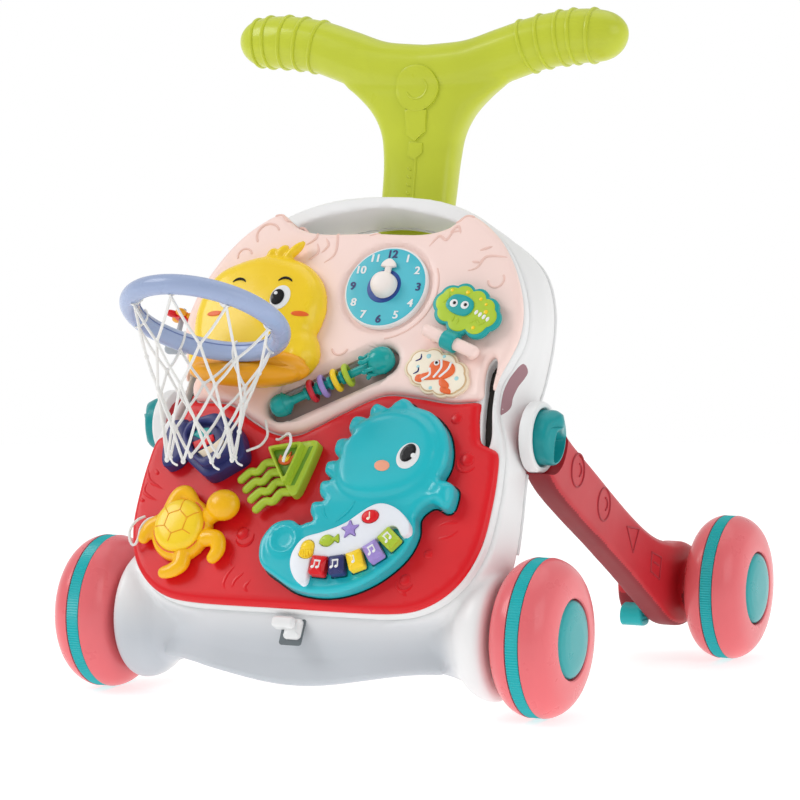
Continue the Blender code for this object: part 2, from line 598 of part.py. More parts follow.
def flip_card():
    """Fish card that turns over on a bar, and the picture plate below it."""
    along = (BAR_B - BAR_A).normalized()
    up = Vector((-along.y, along.x))
    middle = (BAR_A + BAR_B) / 2
    bar = rod("card_bar", (*BAR_A, BAR_H), (*BAR_B, BAR_H), 0.0046, "pink", PANEL, 20)
    for side in (-1, 1):
        spot = middle + along * side * (BAR_A - BAR_B).length / 2 * 0.84
        post = slab(f"add_post_{side}", circle(spot.x, spot.y, 0.0036, 8), FACE + GAP, BAR_H,
                    "pink", edge=0.0, smooth=False, tool=True)
        boolean(bar, post, "UNION")

    def scallop(centre, wide, tall, depth, count=21):
        points = []
        for step in range(count):
            a = math.tau * step / count
            r = 1.0 + depth * math.cos(7 * a)
            points.append(tuple(centre + along * (wide * r * math.cos(a)) + up * (tall * r * math.sin(a))))
        return points

    card = slab("flip_card", scallop(middle + up * 0.0245, 0.0250, 0.0185, 0.035), BAR_H - 0.0020,
                BAR_H + 0.0020, "green", edge=0.0008, smooth=False, origin=(*middle, BAR_H))
    lug = (*(middle - along * 0.0075), BAR_H), (*(middle + along * 0.0075), BAR_H)
    boolean(card, rod("add_lug", *lug, 0.0070, "green", PANEL, 20, tool=True), "UNION")
    boolean(card, rod("cut_lug", (*(middle - along * 0.03), BAR_H), (*(middle + along * 0.03), BAR_H),
                      0.0050, "green", PANEL, 20, tool=True))
    slab("picture_plate", scallop(middle - up * 0.0265, 0.0250, 0.0170, 0.04), FACE + GAP, 0.0165,
         "orange", edge=0.0008, smooth=False)


def bead_roller():
    """Rod with a ball end and an octopus end, and four loose rings."""
    along = (BEAD_B - BEAD_A).normalized()
    length = (BEAD_B - BEAD_A).length
    middle = (*((BEAD_A + BEAD_B) / 2), BEAD_H)
    half = length / 2
    profile = [(0.0, half + 0.0085), (0.0060, half + 0.0062), (0.0088, half), (0.0060, half - 0.0062),
               (0.0030, half - 0.0090), (0.0030, -half + 0.0075), (0.0052, -half + 0.0050),
               (0.0072, -half), (0.0052, -half - 0.0050), (0.0, -half - 0.0072)]
    turned("bead_rod", profile, middle, (along.x, along.y, 0), "teal", PANEL, 16)
    for index, (slot, place_at) in enumerate((("red", -0.0150), ("purple", -0.0062),
                                              ("yellow", 0.0040), ("green", 0.0130))):
        centre = Vector(middle) + Vector((along.x, along.y, 0)) * place_at
        ring = [(0.0036, 0.0014), (0.0060, 0.0023), (0.0085, 0.0012), (0.0085, -0.0012),
                (0.0060, -0.0023), (0.0036, -0.0014)]
        turned(f"bead_ring_{index + 1}", ring, centre, (along.x, along.y, 0), slot, PANEL, 16)


SEAHORSE = [(-0.023, 0.043), (-0.021, 0.058), (-0.010, 0.071), (0.002, 0.077), (0.012, 0.084),
            (0.015, 0.100), (0.017, 0.118), (0.023, 0.138), (0.036, 0.153), (0.052, 0.1605),
            (0.066, 0.1620), (0.084, 0.156), (0.098, 0.145), (0.105, 0.130), (0.108, 0.117),
            (0.1165, 0.106), (0.1170, 0.096), (0.110, 0.087), (0.099, 0.084), (0.094, 0.066),
            (0.085, 0.047), (0.069, 0.030), (0.048, 0.0175), (0.027, 0.0140), (0.006, 0.018),
            (-0.012, 0.028)]
BODY_TOP = 0.0280
KEY_PLATE = [(0.006, 0.034), (0.012, 0.025), (0.022, 0.0215), (0.044, 0.0225), (0.064, 0.033),
             (0.080, 0.047), (0.089, 0.062), (0.088, 0.072), (0.078, 0.080), (0.066, 0.084),
             (0.056, 0.081), (0.040, 0.068), (0.025, 0.061), (0.012, 0.056), (0.006, 0.046)]
PLATE_TOP = 0.0305
KEY_COLOURS = ("red", "navy", "yellow", "purple", "green")
KEY_ARC_CENTRE, KEY_ARC_RADIUS = Vector((0.030, 0.095)), 0.0590
BUTTONS = (("octopus", 0.0170, 0.0480, "yellow"), ("fish", 0.0320, 0.0545, "green"),
           ("star", 0.0460, 0.0635, "purple"), ("fruit", 0.0590, 0.0735, "red"))


def key_outline(index, grow=0.0):
    """The rounded box of one piano key, on an arc."""
    a = math.radians(-92.0 + 13.4 * index)
    out = Vector((math.cos(a), math.sin(a)))
    side = Vector((-out.y, out.x))
    centre = KEY_ARC_CENTRE + out * KEY_ARC_RADIUS
    wide, tall = 0.0056 + grow, 0.0068 + grow
    corners = ((-1, -1), (1, -1), (1, 1), (-1, 1))
    return [tuple(centre + side * (wide * s) + out * (tall * t)) for s, t in corners], centre


def music_seahorse():
    """Seahorse housing, keyboard plate, five piano keys and four shape buttons."""
    body = slab("seahorse_body", SEAHORSE, FACE + GAP, BODY_TOP, "sea", edge=0.003)
    boolean(body, slab("cut_key_well", inset(KEY_PLATE, 0.0010), BODY_TOP - 0.006, 0.05, "sea",
                       edge=0.0, tool=True))
    plate = slab("key_plate", KEY_PLATE, BODY_TOP + GAP, PLATE_TOP, "white", edge=0.0006)
    for index, slot in enumerate(KEY_COLOURS):
        outline, centre = key_outline(index)
        slab(f"piano_key_{index + 1}", outline, BODY_TOP - 0.002, PLATE_TOP + 0.0035, slot,
             edge=0.0010, smooth=False, origin=(*centre, BODY_TOP))
        window, _ = key_outline(index, 0.0004)
        boolean(plate, slab(f"cut_key_{index + 1}", window, 0.0, 0.05, "white", edge=0.0,
                            smooth=False, tool=True))
    for name, x, y, slot in BUTTONS:
        slab(f"button_{name}", circle(x, y, 0.0056, 12), BODY_TOP - 0.002, PLATE_TOP + 0.0030, slot,
             edge=0.0010, smooth=False, origin=(x, y, BODY_TOP))
        boolean(plate, slab(f"cut_button_{name}", circle(x, y, 0.0061, 12), 0.0, 0.05, "white",
                            edge=0.0, smooth=False, tool=True))


FISH = [(-0.107, 0.1380), (-0.076, 0.1450), (-0.055, 0.1315), (-0.053, 0.1120), (-0.074, 0.0965),
        (-0.098, 0.1060), (-0.113, 0.0970), (-0.117, 0.1120), (-0.104, 0.1180)]
JELLY = [(-0.031, 0.1240), (0.001, 0.1300), (-0.004, 0.112), (-0.009, 0.0920), (-0.020, 0.0900),
         (-0.036, 0.0820), (-0.047, 0.0880), (-0.056, 0.0990), (-0.044, 0.1080)]
TURTLE = [(-0.074, 0.0780), (-0.063, 0.0890), (-0.053, 0.0860), (-0.054, 0.0760), (-0.065, 0.0700),
          (-0.067, 0.0580), (-0.054, 0.0520), (-0.053, 0.0440), (-0.063, 0.0440), (-0.075, 0.0480),
          (-0.082, 0.0390), (-0.083, 0.0290), (-0.092, 0.0290), (-0.096, 0.0410), (-0.106, 0.0470),
          (-0.118, 0.0500), (-0.120, 0.0590), (-0.110, 0.0620), (-0.108, 0.0740), (-0.104, 0.0840),
          (-0.098, 0.0900), (-0.090, 0.0860), (-0.082, 0.0820)]
BLOCKS = (("fish_block", FISH, (-0.080, 0.120), 0.0340, "navy", False),
          ("jellyfish_block", JELLY, (-0.016, 0.112), 0.0290, "green", True),
          ("turtle_block", TURTLE, (-0.087, 0.064), 0.0290, "yellow", True))


def sorter_blocks():
    for name, outline, centre, top, slot, smooth in BLOCKS:
        slab(name, outline, FACE + GAP, top, slot, edge=0.002, smooth=smooth, detail=3,
             origin=(*centre, FACE))


CORD_RADIUS = 0.0010
CORDS = (
    ("cord_turtle", [
        (-0.1235, 0.0710, 0.0165), (-0.1275, 0.0665, 0.0195), (-0.1305, 0.0590, 0.0205),
        (-0.1290, 0.0510, 0.0195), (-0.1255, 0.0480, 0.0185), (-0.1232, 0.0530, 0.0190),
        (-0.1235, 0.0615, 0.0185), (-0.1200, 0.0680, 0.0180), (-0.1130, 0.0705, 0.0180)]),
    ("cord_jellyfish", [
        (-0.0340, 0.1340, 0.0165), (-0.0290, 0.1325, 0.0205), (-0.0180, 0.1330, 0.0300),
        (-0.0130, 0.1250, 0.0335), (-0.0150, 0.1160, 0.0335), (-0.0165, 0.1110, 0.0312)]),
    ("cord_fish", [
        (-0.0460, 0.1480, 0.0165), (-0.0430, 0.1430, 0.0190), (-0.0400, 0.1350, 0.0200),
        (-0.0425, 0.1270, 0.0215), (-0.0490, 0.1230, 0.0225), (-0.0520, 0.1215, 0.0228)]),
)


def smooth_route(points, spacing):
    """Points every spacing along a smooth curve through the route."""
    route = [Vector(p) for p in points]
    dense = []
    for i in range(len(route) - 1):
        p0 = route[max(i - 1, 0)]
        p1, p2 = route[i], route[i + 1]
        p3 = route[min(i + 2, len(route) - 1)]
        for step in range(12):
            t = step / 12
            dense.append(0.5 * ((2 * p1) + (p2 - p0) * t + (2 * p0 - 5 * p1 + 4 * p2 - p3) * t * t
                                + (3 * p1 - p0 - 3 * p2 + p3) * t ** 3))
    dense.append(route[-1])
    kept = [dense[0]]
    for point in dense[1:]:
        if (point - kept[-1]).length >= spacing:
            kept.append(point)
    if (kept[-1] - dense[-1]).length > spacing * 0.3:
        kept.append(dense[-1])
    return kept


def tether(name, points):
    """A short white cord that keeps a sorter block with the panel."""
    curve = bpy.data.curves.new(name, "CURVE")
    curve.dimensions = "3D"
    curve.bevel_depth = CORD_RADIUS
    curve.bevel_resolution = 2
    curve.use_fill_caps = True
    line = curve.splines.new("POLY")
    route = smooth_route(points, CORD_RADIUS * 5)
    line.points.add(len(route) - 1)
    for knot, point in zip(line.points, route):
        knot.co = (*point, 1)
    place(name, curve_mesh(curve), "cord", PANEL, points[0])


SPIN_U, SPIN_V, SPIN_H = -0.1500, 0.232, -0.010
SPIN_STEM_RADIUS = 0.0020


def side_spinner():
    """Petal spinner on a grey post at the frame's left edge."""
    foot_v, tip_v, root_u = SPIN_V - 0.018, SPIN_V + 0.006, -0.1342
    post = rod("spinner_post", (root_u, foot_v, SPIN_H), (SPIN_U - 0.004, foot_v, SPIN_H), 0.0040,
               "grey", PANEL, 16)
    boolean(post, rod("add_spinner_stem", (SPIN_U, foot_v, SPIN_H), (SPIN_U, tip_v, SPIN_H),
                      SPIN_STEM_RADIUS, "grey", PANEL, 16, tool=True), "UNION")
    petals = []
    for step in range(20):
        a = math.tau * step / 20
        r = 0.0098 + 0.0034 * math.cos(5 * a)
        petals.append((r * math.cos(a), r * math.sin(a)))
    rotor_frame = empty("spinner_frame", (SPIN_U, SPIN_V, SPIN_H), (-math.pi / 2, 0, 0), PANEL)
    rotor = slab("spinner_petals", petals, -0.0025, 0.0025, "orange", parent=rotor_frame,
                 edge=0.0008, smooth=False)
    bpy.context.view_layer.update()
    hole = rod("cut_spinner", (0, 0, -0.02), (0, 0, 0.02), SPIN_STEM_RADIUS + GAP, "orange",
               rotor_frame, 16, tool=True)
    boolean(rotor, hole)


bpy.context.view_layer.update()
frame_shell()
rear_cover()
battery_door()
front_axle()
handle()
for label, sign in (("left", -1), ("right", 1)):
    wheel(f"front_{label}", sign, FRONT_WHEEL_X, FRONT_AXLE_Y)
    wheel(f"rear_{label}", sign, REAR_WHEEL_X, FRONT_AXLE_Y + WHEELBASE)
    leg(label, sign)
    leg_fittings(label, sign)
panel()
latch()
duck_hoop()
net()
clock()
flip_card()
bead_roller()
music_seahorse()
sorter_blocks()
for cord_name, cord_route in CORDS:
    tether(cord_name, cord_route)
side_spinner()
bpy.context.view_layer.update()
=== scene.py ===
"""Looks of the push-along baby walker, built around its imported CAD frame."""

import json
import math

import bmesh
import bpy
import numpy as np
from mathutils import Matrix, Vector
from mathutils.bvhtree import BVHTree
from mathutils.geometry import delaunay_2d_cdt

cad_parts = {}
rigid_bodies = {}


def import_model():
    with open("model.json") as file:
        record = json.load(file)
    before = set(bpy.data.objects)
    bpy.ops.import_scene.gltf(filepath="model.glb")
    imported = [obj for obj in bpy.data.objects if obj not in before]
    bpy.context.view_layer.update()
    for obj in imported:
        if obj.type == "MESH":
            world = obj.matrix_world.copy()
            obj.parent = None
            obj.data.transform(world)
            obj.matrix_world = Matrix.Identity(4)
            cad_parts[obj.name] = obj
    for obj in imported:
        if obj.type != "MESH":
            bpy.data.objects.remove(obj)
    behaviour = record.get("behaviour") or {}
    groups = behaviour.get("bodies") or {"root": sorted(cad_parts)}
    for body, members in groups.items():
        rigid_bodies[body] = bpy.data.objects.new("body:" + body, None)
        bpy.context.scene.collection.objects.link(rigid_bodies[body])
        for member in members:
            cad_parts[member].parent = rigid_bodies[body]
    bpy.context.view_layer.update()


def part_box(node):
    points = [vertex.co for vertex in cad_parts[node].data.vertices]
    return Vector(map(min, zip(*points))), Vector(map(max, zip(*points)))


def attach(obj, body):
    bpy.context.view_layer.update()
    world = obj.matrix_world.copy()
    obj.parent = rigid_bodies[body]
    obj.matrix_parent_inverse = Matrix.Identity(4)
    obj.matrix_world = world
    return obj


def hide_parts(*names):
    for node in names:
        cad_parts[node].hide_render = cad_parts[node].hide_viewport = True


for old in list(bpy.data.objects):
    bpy.data.objects.remove(old, do_unlink=True)
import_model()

# ---------------------------------------------------------------- dimensions shared with the CAD
FRONT_AXLE_Y = -0.136
WHEELBASE = 0.319
WHEEL_RADIUS = 0.055
WHEEL_HALF_WIDTH = 0.0232
FRONT_WHEEL_X, REAR_WHEEL_X = 0.169, 0.19
CAP_RADIUS = 0.027
PANEL_LEAN = math.radians(28.0)
FRAME_DEPTH = 0.034
TRAY_TOP = 0.008
HINGE_Y, HINGE_Z = 0.05, 0.187
HINGE_RADIUS = 0.025
LEG_INNER_X, LEG_OUTER_X = 0.1365, 0.1565
CORNER_STEPS, PROFILE_STEPS, SLOT_STEPS = 5, 4, 10
HOOP_CENTRE = (-0.064, 0.187, 0.1)
HOOP_RADIUS, HOOP_TUBE = 0.0536, 0.007
STEM_H = -0.0535

# Panel frame: x across, y up the panel, z out of its face.
PANEL = Matrix.Translation((0.0, FRONT_AXLE_Y - 0.0476, 0.0571)) @ Matrix.Rotation(
    math.pi / 2 - PANEL_LEAN, 4, "X")
WORLD = Matrix.Identity(4)


# ---------------------------------------------------------------- outlines
def mm(points):
    """Points given in millimetres, as metres."""
    return [tuple(round(v / 1000, 6) for v in point) for point in points]


def hermite(points, sharp, closed, step):
    """Points about a step apart on a smooth curve through the given ones; sharp ones stay corners."""
    knots = np.asarray(points, float)
    count = len(knots)
    runs = count if closed else count - 1
    out = []
    for i in range(runs):
        one, two = knots[i], knots[(i + 1) % count]
        before = knots[i - 1] if closed or i else one
        after = knots[(i + 2) % count] if closed or i + 2 < count else two
        m1 = two - one if i in sharp else (two - before) / 2
        m2 = two - one if (i + 1) % count in sharp else (after - one) / 2
        length = np.linalg.norm(two - one)
        m1 = m1 * min(1.0, 1.3 * length / max(np.linalg.norm(m1), 1e-9))
        m2 = m2 * min(1.0, 1.3 * length / max(np.linalg.norm(m2), 1e-9))
        pieces = max(1, int(round(length / step)))
        for k in range(pieces):
            t = k / pieces
            out.append((2 * t ** 3 - 3 * t ** 2 + 1) * one + (t ** 3 - 2 * t ** 2 + t) * m1
                       + (3 * t ** 2 - 2 * t ** 3) * two + (t ** 3 - t ** 2) * m2)
    if not closed:
        out.append(knots[-1])
    return np.array(out)


def loop(points, step=0.0025, sharp=()):
    """A smooth closed outline."""
    return hermite(points, set(sharp), True, step)


def path(points, step=0.002):
    """A smooth open line, or a table of sections drawn out into close smooth ones."""
    return hermite(points, set(), False, step)


def around(count):
    """Evenly spaced angles once round."""
    return np.linspace(0, math.tau, count, endpoint=False)


def circle(x, y, radius, count=48, radius_y=None, turn=0.0):
    """A circle, or an ellipse turned by an angle."""
    a = around(count)
    px, py = radius * np.cos(a), (radius_y or radius) * np.sin(a)
    c, s = math.cos(turn), math.sin(turn)
    return np.stack((x + px * c - py * s, y + px * s + py * c), 1)


def rounded_box(x0, y0, x1, y1, radius):
    """A rectangle with round corners."""
    out = []
    for cx, cy, start in ((x1 - radius, y1 - radius, 0), (x0 + radius, y1 - radius, 90),
                          (x0 + radius, y0 + radius, 180), (x1 - radius, y0 + radius, 270)):
        for k in range(CORNER_STEPS + 1):
            a = math.radians(start + 90 * k / CORNER_STEPS)
            out.append((cx + radius * math.cos(a), cy + radius * math.sin(a)))
    return np.array(out)


def mirrored(half):
    """A right-hand half outline, top to bottom, closed with its left-hand twin."""
    return list(half) + [(-x, y) for x, y in reversed(half) if x > 1e-6]


def turned_outline(points, centre, angle):
    """Points turned about a centre."""
    c, s = math.cos(angle), math.sin(angle)
    p = np.asarray(points, float) - centre
    return np.stack((p[:, 0] * c - p[:, 1] * s, p[:, 0] * s + p[:, 1] * c), 1) + centre


# ---------------------------------------------------------------- solids
def unit_rows(rows):
    """Each row scaled to length one."""
    return rows / np.maximum(np.linalg.norm(rows, axis=1), 1e-12)[:, None]


def distances(points, loops):
    """Shortest distance from each point to the loops' edges."""
    best = np.full(len(points), 1e9)
    for ring in loops:
        a, b = ring, np.roll(ring, -1, 0)
        ab = b - a
        size = np.maximum((ab ** 2).sum(1), 1e-18)
        for start in range(0, len(points), 2000):
            p = points[start:start + 2000, None, :]
            t = np.clip(((p - a) * ab).sum(2) / size, 0, 1)
            d = np.linalg.norm(p - (a + t[:, :, None] * ab), axis=2).min(1)
            best[start:start + 2000] = np.minimum(best[start:start + 2000], d)
    return best


def inside(points, loops):
    """Whether each point is inside the first loop and outside the rest."""
    odd = np.zeros(len(points), bool)
    for ring in loops:
        a, b = ring, np.roll(ring, -1, 0)
        for (x0, y0), (x1, y1) in zip(a, b):
            if y0 == y1:
                continue
            crosses = (y0 > points[:, 1]) != (y1 > points[:, 1])
            x = (x1 - x0) * (points[:, 1] - y0) / (y1 - y0) + x0
            odd ^= crosses & (points[:, 0] < x)
    return odd


def triangles(points, loops):
    """Delaunay triangles of the points that lie inside the loops, which come first in the list."""
    edges, start = [], 0
    for ring in loops:
        edges += [(start + i, start + (i + 1) % len(ring)) for i in range(len(ring))]
        start += len(ring)
    made = delaunay_2d_cdt([Vector(p) for p in points], edges, [], 0, 1e-7)
    flat = np.array([tuple(p) for p in made[0]])
    faces = np.array([f for f in made[2] if len(f) == 3])
    keep = inside(flat[faces].mean(1), loops)
    return flat, faces[keep]


class Shape:
    """Vertices and faces of several solids, each face with its material's number."""

    def __init__(self):
        self.verts, self.faces, self.slots = [], [], []

    def add(self, verts, faces, matrix=WORLD, mat=0):
        """Put in one more solid."""
        start = len(self.verts)
        self.verts += [matrix @ Vector(v) for v in verts]
        self.faces += [tuple(int(i) + start for i in f) for f in faces]
        self.slots += [mat] * len(faces)
        return self

    def pillow(self, outline, low, high, edge=0.002, crown=0.0, grain=0.004, holes=(), rise=None,
               matrix=PANEL, mat=0, rings=4, ground=None):
        """A plate from low to high with round edges and a crowned top, on a surface or a level."""
        base_at = ground or (lambda x, y: np.zeros(np.size(x)))
        loops = [np.asarray(outline, float)] + [np.asarray(h, float) for h in holes]
        points = [*loops]
        for ring in loops:
            ahead, behind = np.roll(ring, -1, 0), np.roll(ring, 1, 0)
            run = ahead - behind
            run = unit_rows(run)
            side = np.stack((-run[:, 1], run[:, 0]), 1)
            test = inside(ring + side * 1e-5, loops)
            side[~test] *= -1
            for k in range(1, rings + 1):
                depth = edge * (1 - math.cos(k / rings * math.pi / 2))
                near = ring + side * depth
                points.append(near[(distances(near, loops) > depth * 0.97) & inside(near, loops)])
        low_x, low_y = loops[0].min(0)
        high_x, high_y = loops[0].max(0)
        xs = np.arange(low_x, high_x, grain)
        ys = np.arange(low_y, high_y, grain * 0.87)
        gx, gy = np.meshgrid(xs, ys)
        gx[1::2] += grain / 2
        grid = np.stack((gx.ravel(), gy.ravel()), 1)
        grid = grid[inside(grid, loops)]
        if len(grid):
            points.append(grid[distances(grid, loops) > edge + grain * 0.4])
        flat, tris = triangles(np.concatenate(points), loops)
        d = distances(flat, loops)
        span = max(d.max(), 1e-6)
        bend = np.clip(d / edge, 0, 1)
        z = high - edge + edge * np.sqrt(np.maximum(0, 1 - (1 - bend) ** 2))
        z += crown * (1 - (1 - d / span) ** 2)
        if rise is not None:
            z += rise(flat[:, 0], flat[:, 1]) * bend
        top = np.column_stack((flat, z + base_at(flat[:, 0], flat[:, 1])))
        self.add(top, tris, matrix, mat)
        rims = np.concatenate(loops)
        base, cap = triangles(rims, loops)
        count, start = len(rims), 0
        floor = base_at(rims[:, 0], rims[:, 1])
        under = np.column_stack((rims, low + floor))
        walls = []
        for ring in loops:
            for i in range(len(ring)):
                j = (i + 1) % len(ring)
                walls.append((start + i, start + j, count + start + j, count + start + i))
            start += len(ring)
        upper = np.column_stack((rims, high - edge + floor))
        caps = [tuple(int(i) + count for i in f) for f in cap] if len(base) == count else []
        self.add(np.concatenate((upper, under)), walls + caps, matrix, mat)
        return self

    def tube(self, points, radius, sides=10, closed=False, up=None, flat=1.0, matrix=PANEL, mat=0,
             taper=0.0):
        """A round or flattened bar along a path, with round ends; taper thins it to its ends."""
        p = np.asarray(points, float)
        count = len(p)
        if closed:
            run = np.roll(p, -1, 0) - np.roll(p, 1, 0)
        else:
            run = np.gradient(p, axis=0)
        run = unit_rows(run)
        side_up = np.array(up if up is not None else (0.0, 0.0, 1.0), float)
        if up is None and abs(run[0] @ side_up) > 0.9:
            side_up = np.array((1.0, 0.0, 0.0))
        rings, ups = [], []
        for i in range(count):
            n = side_up if up is not None else (ups[-1] if ups else side_up)
            n = n - run[i] * (n @ run[i])
            n = n / max(np.linalg.norm(n), 1e-12)
            ups.append(n)
        radii = np.full(count, radius) if np.isscalar(radius) else np.asarray(radius, float)
        if taper and not closed:
            t = np.abs(np.linspace(-1, 1, count))
            radii = radii * (1 - taper * t ** 2)
        a = around(sides)

        def ring(centre, n, direction, size):
            b = np.cross(direction, n)
            return [centre + size * (flat * math.sin(t) * n + math.cos(t) * b) for t in a]

        if not closed:
            for share in (0.35, 0.75, 0.95):
                back = radii[0] * math.sqrt(1 - share ** 2)
                rings.append(ring(p[0] - run[0] * back, ups[0], run[0], radii[0] * share))
        for i in range(count):
            rings.append(ring(p[i], ups[i], run[i], radii[i]))
        if not closed:
            for share in (0.95, 0.75, 0.35):
                ahead = radii[-1] * math.sqrt(1 - share ** 2)
                rings.append(ring(p[-1] + run[-1] * ahead, ups[-1], run[-1], radii[-1] * share))
        verts = [v for r in rings for v in r]
        faces = []
        total = len(rings)
        for k in range(total if closed else total - 1):
            one, two = k * sides, ((k + 1) % total) * sides
            for i in range(sides):
                j = (i + 1) % sides
                faces.append((one + i, one + j, two + j, two + i))
        if not closed:
            faces.append(tuple(range(sides))[::-1])
            faces.append(tuple(range((total - 1) * sides, total * sides)))
        return self.add(verts, faces, matrix, mat)

    def lathe(self, profile, matrix=WORLD, segments=64, mat=0):
        """A turned solid: (radius, height) points about the local z axis."""
        verts, rows = [], []
        for r, z in profile:
            if r < 1e-7:
                rows.append([len(verts)])
                verts.append((0, 0, z))
            else:
                rows.append(list(range(len(verts), len(verts) + segments)))
                verts += [(r * math.cos(math.tau * i / segments), r * math.sin(math.tau * i / segments),
                           z) for i in range(segments)]
        closed = profile[0][0] > 1e-7 and profile[-1][0] > 1e-7
        faces = []
        pairs = list(zip(rows, rows[1:])) + ([(rows[-1], rows[0])] if closed else [])
        for one, two in pairs:
            for i in range(segments):
                j = (i + 1) % segments
                if len(one) == 1 and len(two) == 1:
                    continue
                if len(one) == 1:
                    faces.append((one[0], two[i], two[j]))
                elif len(two) == 1:
                    faces.append((one[i], one[j], two[0]))
                else:
                    faces.append((one[i], one[j], two[j], two[i]))
        return self.add(verts, faces, matrix, mat)

    def ball(self, centre, radii, matrix=PANEL, mat=0, segments=24, turn=None):
        """An ellipsoid."""
        steps = max(8, segments // 2)
        profile = [(math.sin(math.pi * k / steps), math.cos(math.pi * k / steps))
                   for k in range(steps + 1)]
        profile[0], profile[-1] = (0.0, 1.0), (0.0, -1.0)
        local = Matrix.Translation(centre) @ (turn or WORLD) @ Matrix.Diagonal((*radii, 1.0))
        return self.lathe(profile, matrix @ local, segments, mat)

    def loft(self, sections, matrix=WORLD):
        """A closed skin through rings of the same count."""
        count = len(sections[0])
        verts = [v for ring in sections for v in ring]
        faces = []
        for k in range(len(sections) - 1):
            for i in range(count):
                j = (i + 1) % count
                faces.append((k * count + i, k * count + j, (k + 1) * count + j, (k + 1) * count + i))
        faces.append(tuple(range(count))[::-1])
        faces.append(tuple(range((len(sections) - 1) * count, len(sections) * count)))
        return self.add(verts, faces, matrix)

    def mesh(self, name, angle=38.0):
        """The whole as one mesh, with edges sharper than the angle left sharp."""
        made = bpy.data.meshes.new(name)
        made.from_pydata([tuple(v) for v in self.verts], [], self.faces)
        made.polygons.foreach_set("material_index", self.slots)
        work = bmesh.new()
        work.from_mesh(made)
        bmesh.ops.remove_doubles(work, verts=work.verts, dist=2e-6)
        bmesh.ops.recalc_face_normals(work, faces=work.faces)
        work.to_mesh(made)
        work.free()
        made.shade_smooth()
        made.set_sharp_from_angle(angle=math.radians(angle))
        return made


def rounded(profile, radius):
    """A turned profile with its inner corners rounded."""
    out = [profile[0]]
    for before, corner, after in zip(profile, profile[1:], profile[2:]):
        p, a, b = Vector(corner), Vector(before), Vector(after)
        one, two = (a - p), (b - p)
        size = min(radius, one.length * 0.45, two.length * 0.45)
        if size < 1e-5:
            out.append(corner)
            continue
        start, end = p + one.normalized() * size, p + two.normalized() * size
        for k in range(PROFILE_STEPS + 1):
            t = k / PROFILE_STEPS
            q = start * (1 - t) ** 2 + p * 2 * t * (1 - t) + end * t ** 2
            out.append((max(q.x, 0.0), q.y))
    out.append(profile[-1])
    return out


def along(origin, direction):
    """A matrix whose z axis points along a direction."""
    turn = Vector((0, 0, 1)).rotation_difference(Vector(direction)).to_matrix().to_4x4()
    return Matrix.Translation(origin) @ turn


# ---------------------------------------------------------------- materials
def linear(hexed):
    """A hex colour as linear light."""
    out = []
    for i in (0, 2, 4):
        c = int(hexed[i:i + 2], 16) / 255
        out.append(c / 12.92 if c <= 0.04045 else ((c + 0.055) / 1.055) ** 2.4)
    return (*out, 1.0)


def node(tree, kind, **inputs):
    """A new node of a kind, with its inputs set; an underscore stands for a space."""
    made = tree.nodes.new("ShaderNode" + kind)
    for socket, value in inputs.items():
        made.inputs[socket.replace("_", " ")].default_value = value
    return made


def plastic(name, colour, rough=0.3, coat=0.25, vary=0.05, grain=0.05, metal=0.0):
    """Moulded plastic: faint flow marks in its colour, uneven gloss and a fine skin."""
    made = bpy.data.materials.new(name)
    made.use_nodes = True
    tree, links = made.node_tree, made.node_tree.links
    shader = tree.nodes["Principled BSDF"]
    for socket, value in (("Metallic", metal), ("Coat Weight", coat * 0.45), ("Coat Roughness", 0.12),
                          ("Specular IOR Level", 0.28)):
        shader.inputs[socket].default_value = value
    place = node(tree, "TexCoord")
    flow = node(tree, "TexNoise", Scale=14.0, Detail=3.0, Distortion=0.6)
    smear = node(tree, "TexNoise", Scale=60.0, Detail=4.0)
    skin = node(tree, "TexNoise", Scale=900.0, Detail=2.0)
    for noise in (flow, smear, skin):
        links.new(place.outputs["Object"], noise.inputs["Vector"])
    base = linear(colour)[:3]
    ramp = node(tree, "ValToRGB")
    for stop, at, share in zip(ramp.color_ramp.elements, (0.3, 0.7), (1 - vary, 1 + vary)):
        stop.position = at
        stop.color = tuple(min(1.0, c * share) for c in base) + (1.0,)
    links.new(flow.outputs["Fac"], ramp.inputs["Fac"])
    links.new(ramp.outputs["Color"], shader.inputs["Base Color"])
    spread = node(tree, "MapRange", To_Min=rough - 0.05, To_Max=rough + 0.07)
    links.new(smear.outputs["Fac"], spread.inputs["Value"])
    links.new(spread.outputs["Result"], shader.inputs["Roughness"])
    bump = node(tree, "Bump", Strength=grain, Distance=0.0004)
    links.new(skin.outputs["Fac"], bump.inputs["Height"])
    links.new(bump.outputs["Normal"], shader.inputs["Normal"])
    return made


# Where the frame's painted shade starts and ends, the white fading to grey along each axis, in metres.
APRON_PAINTED_SHADE = (("Z", 0.086, 0.04), ("Y", -0.118, -0.15), ("X", 0.122, 0.104))


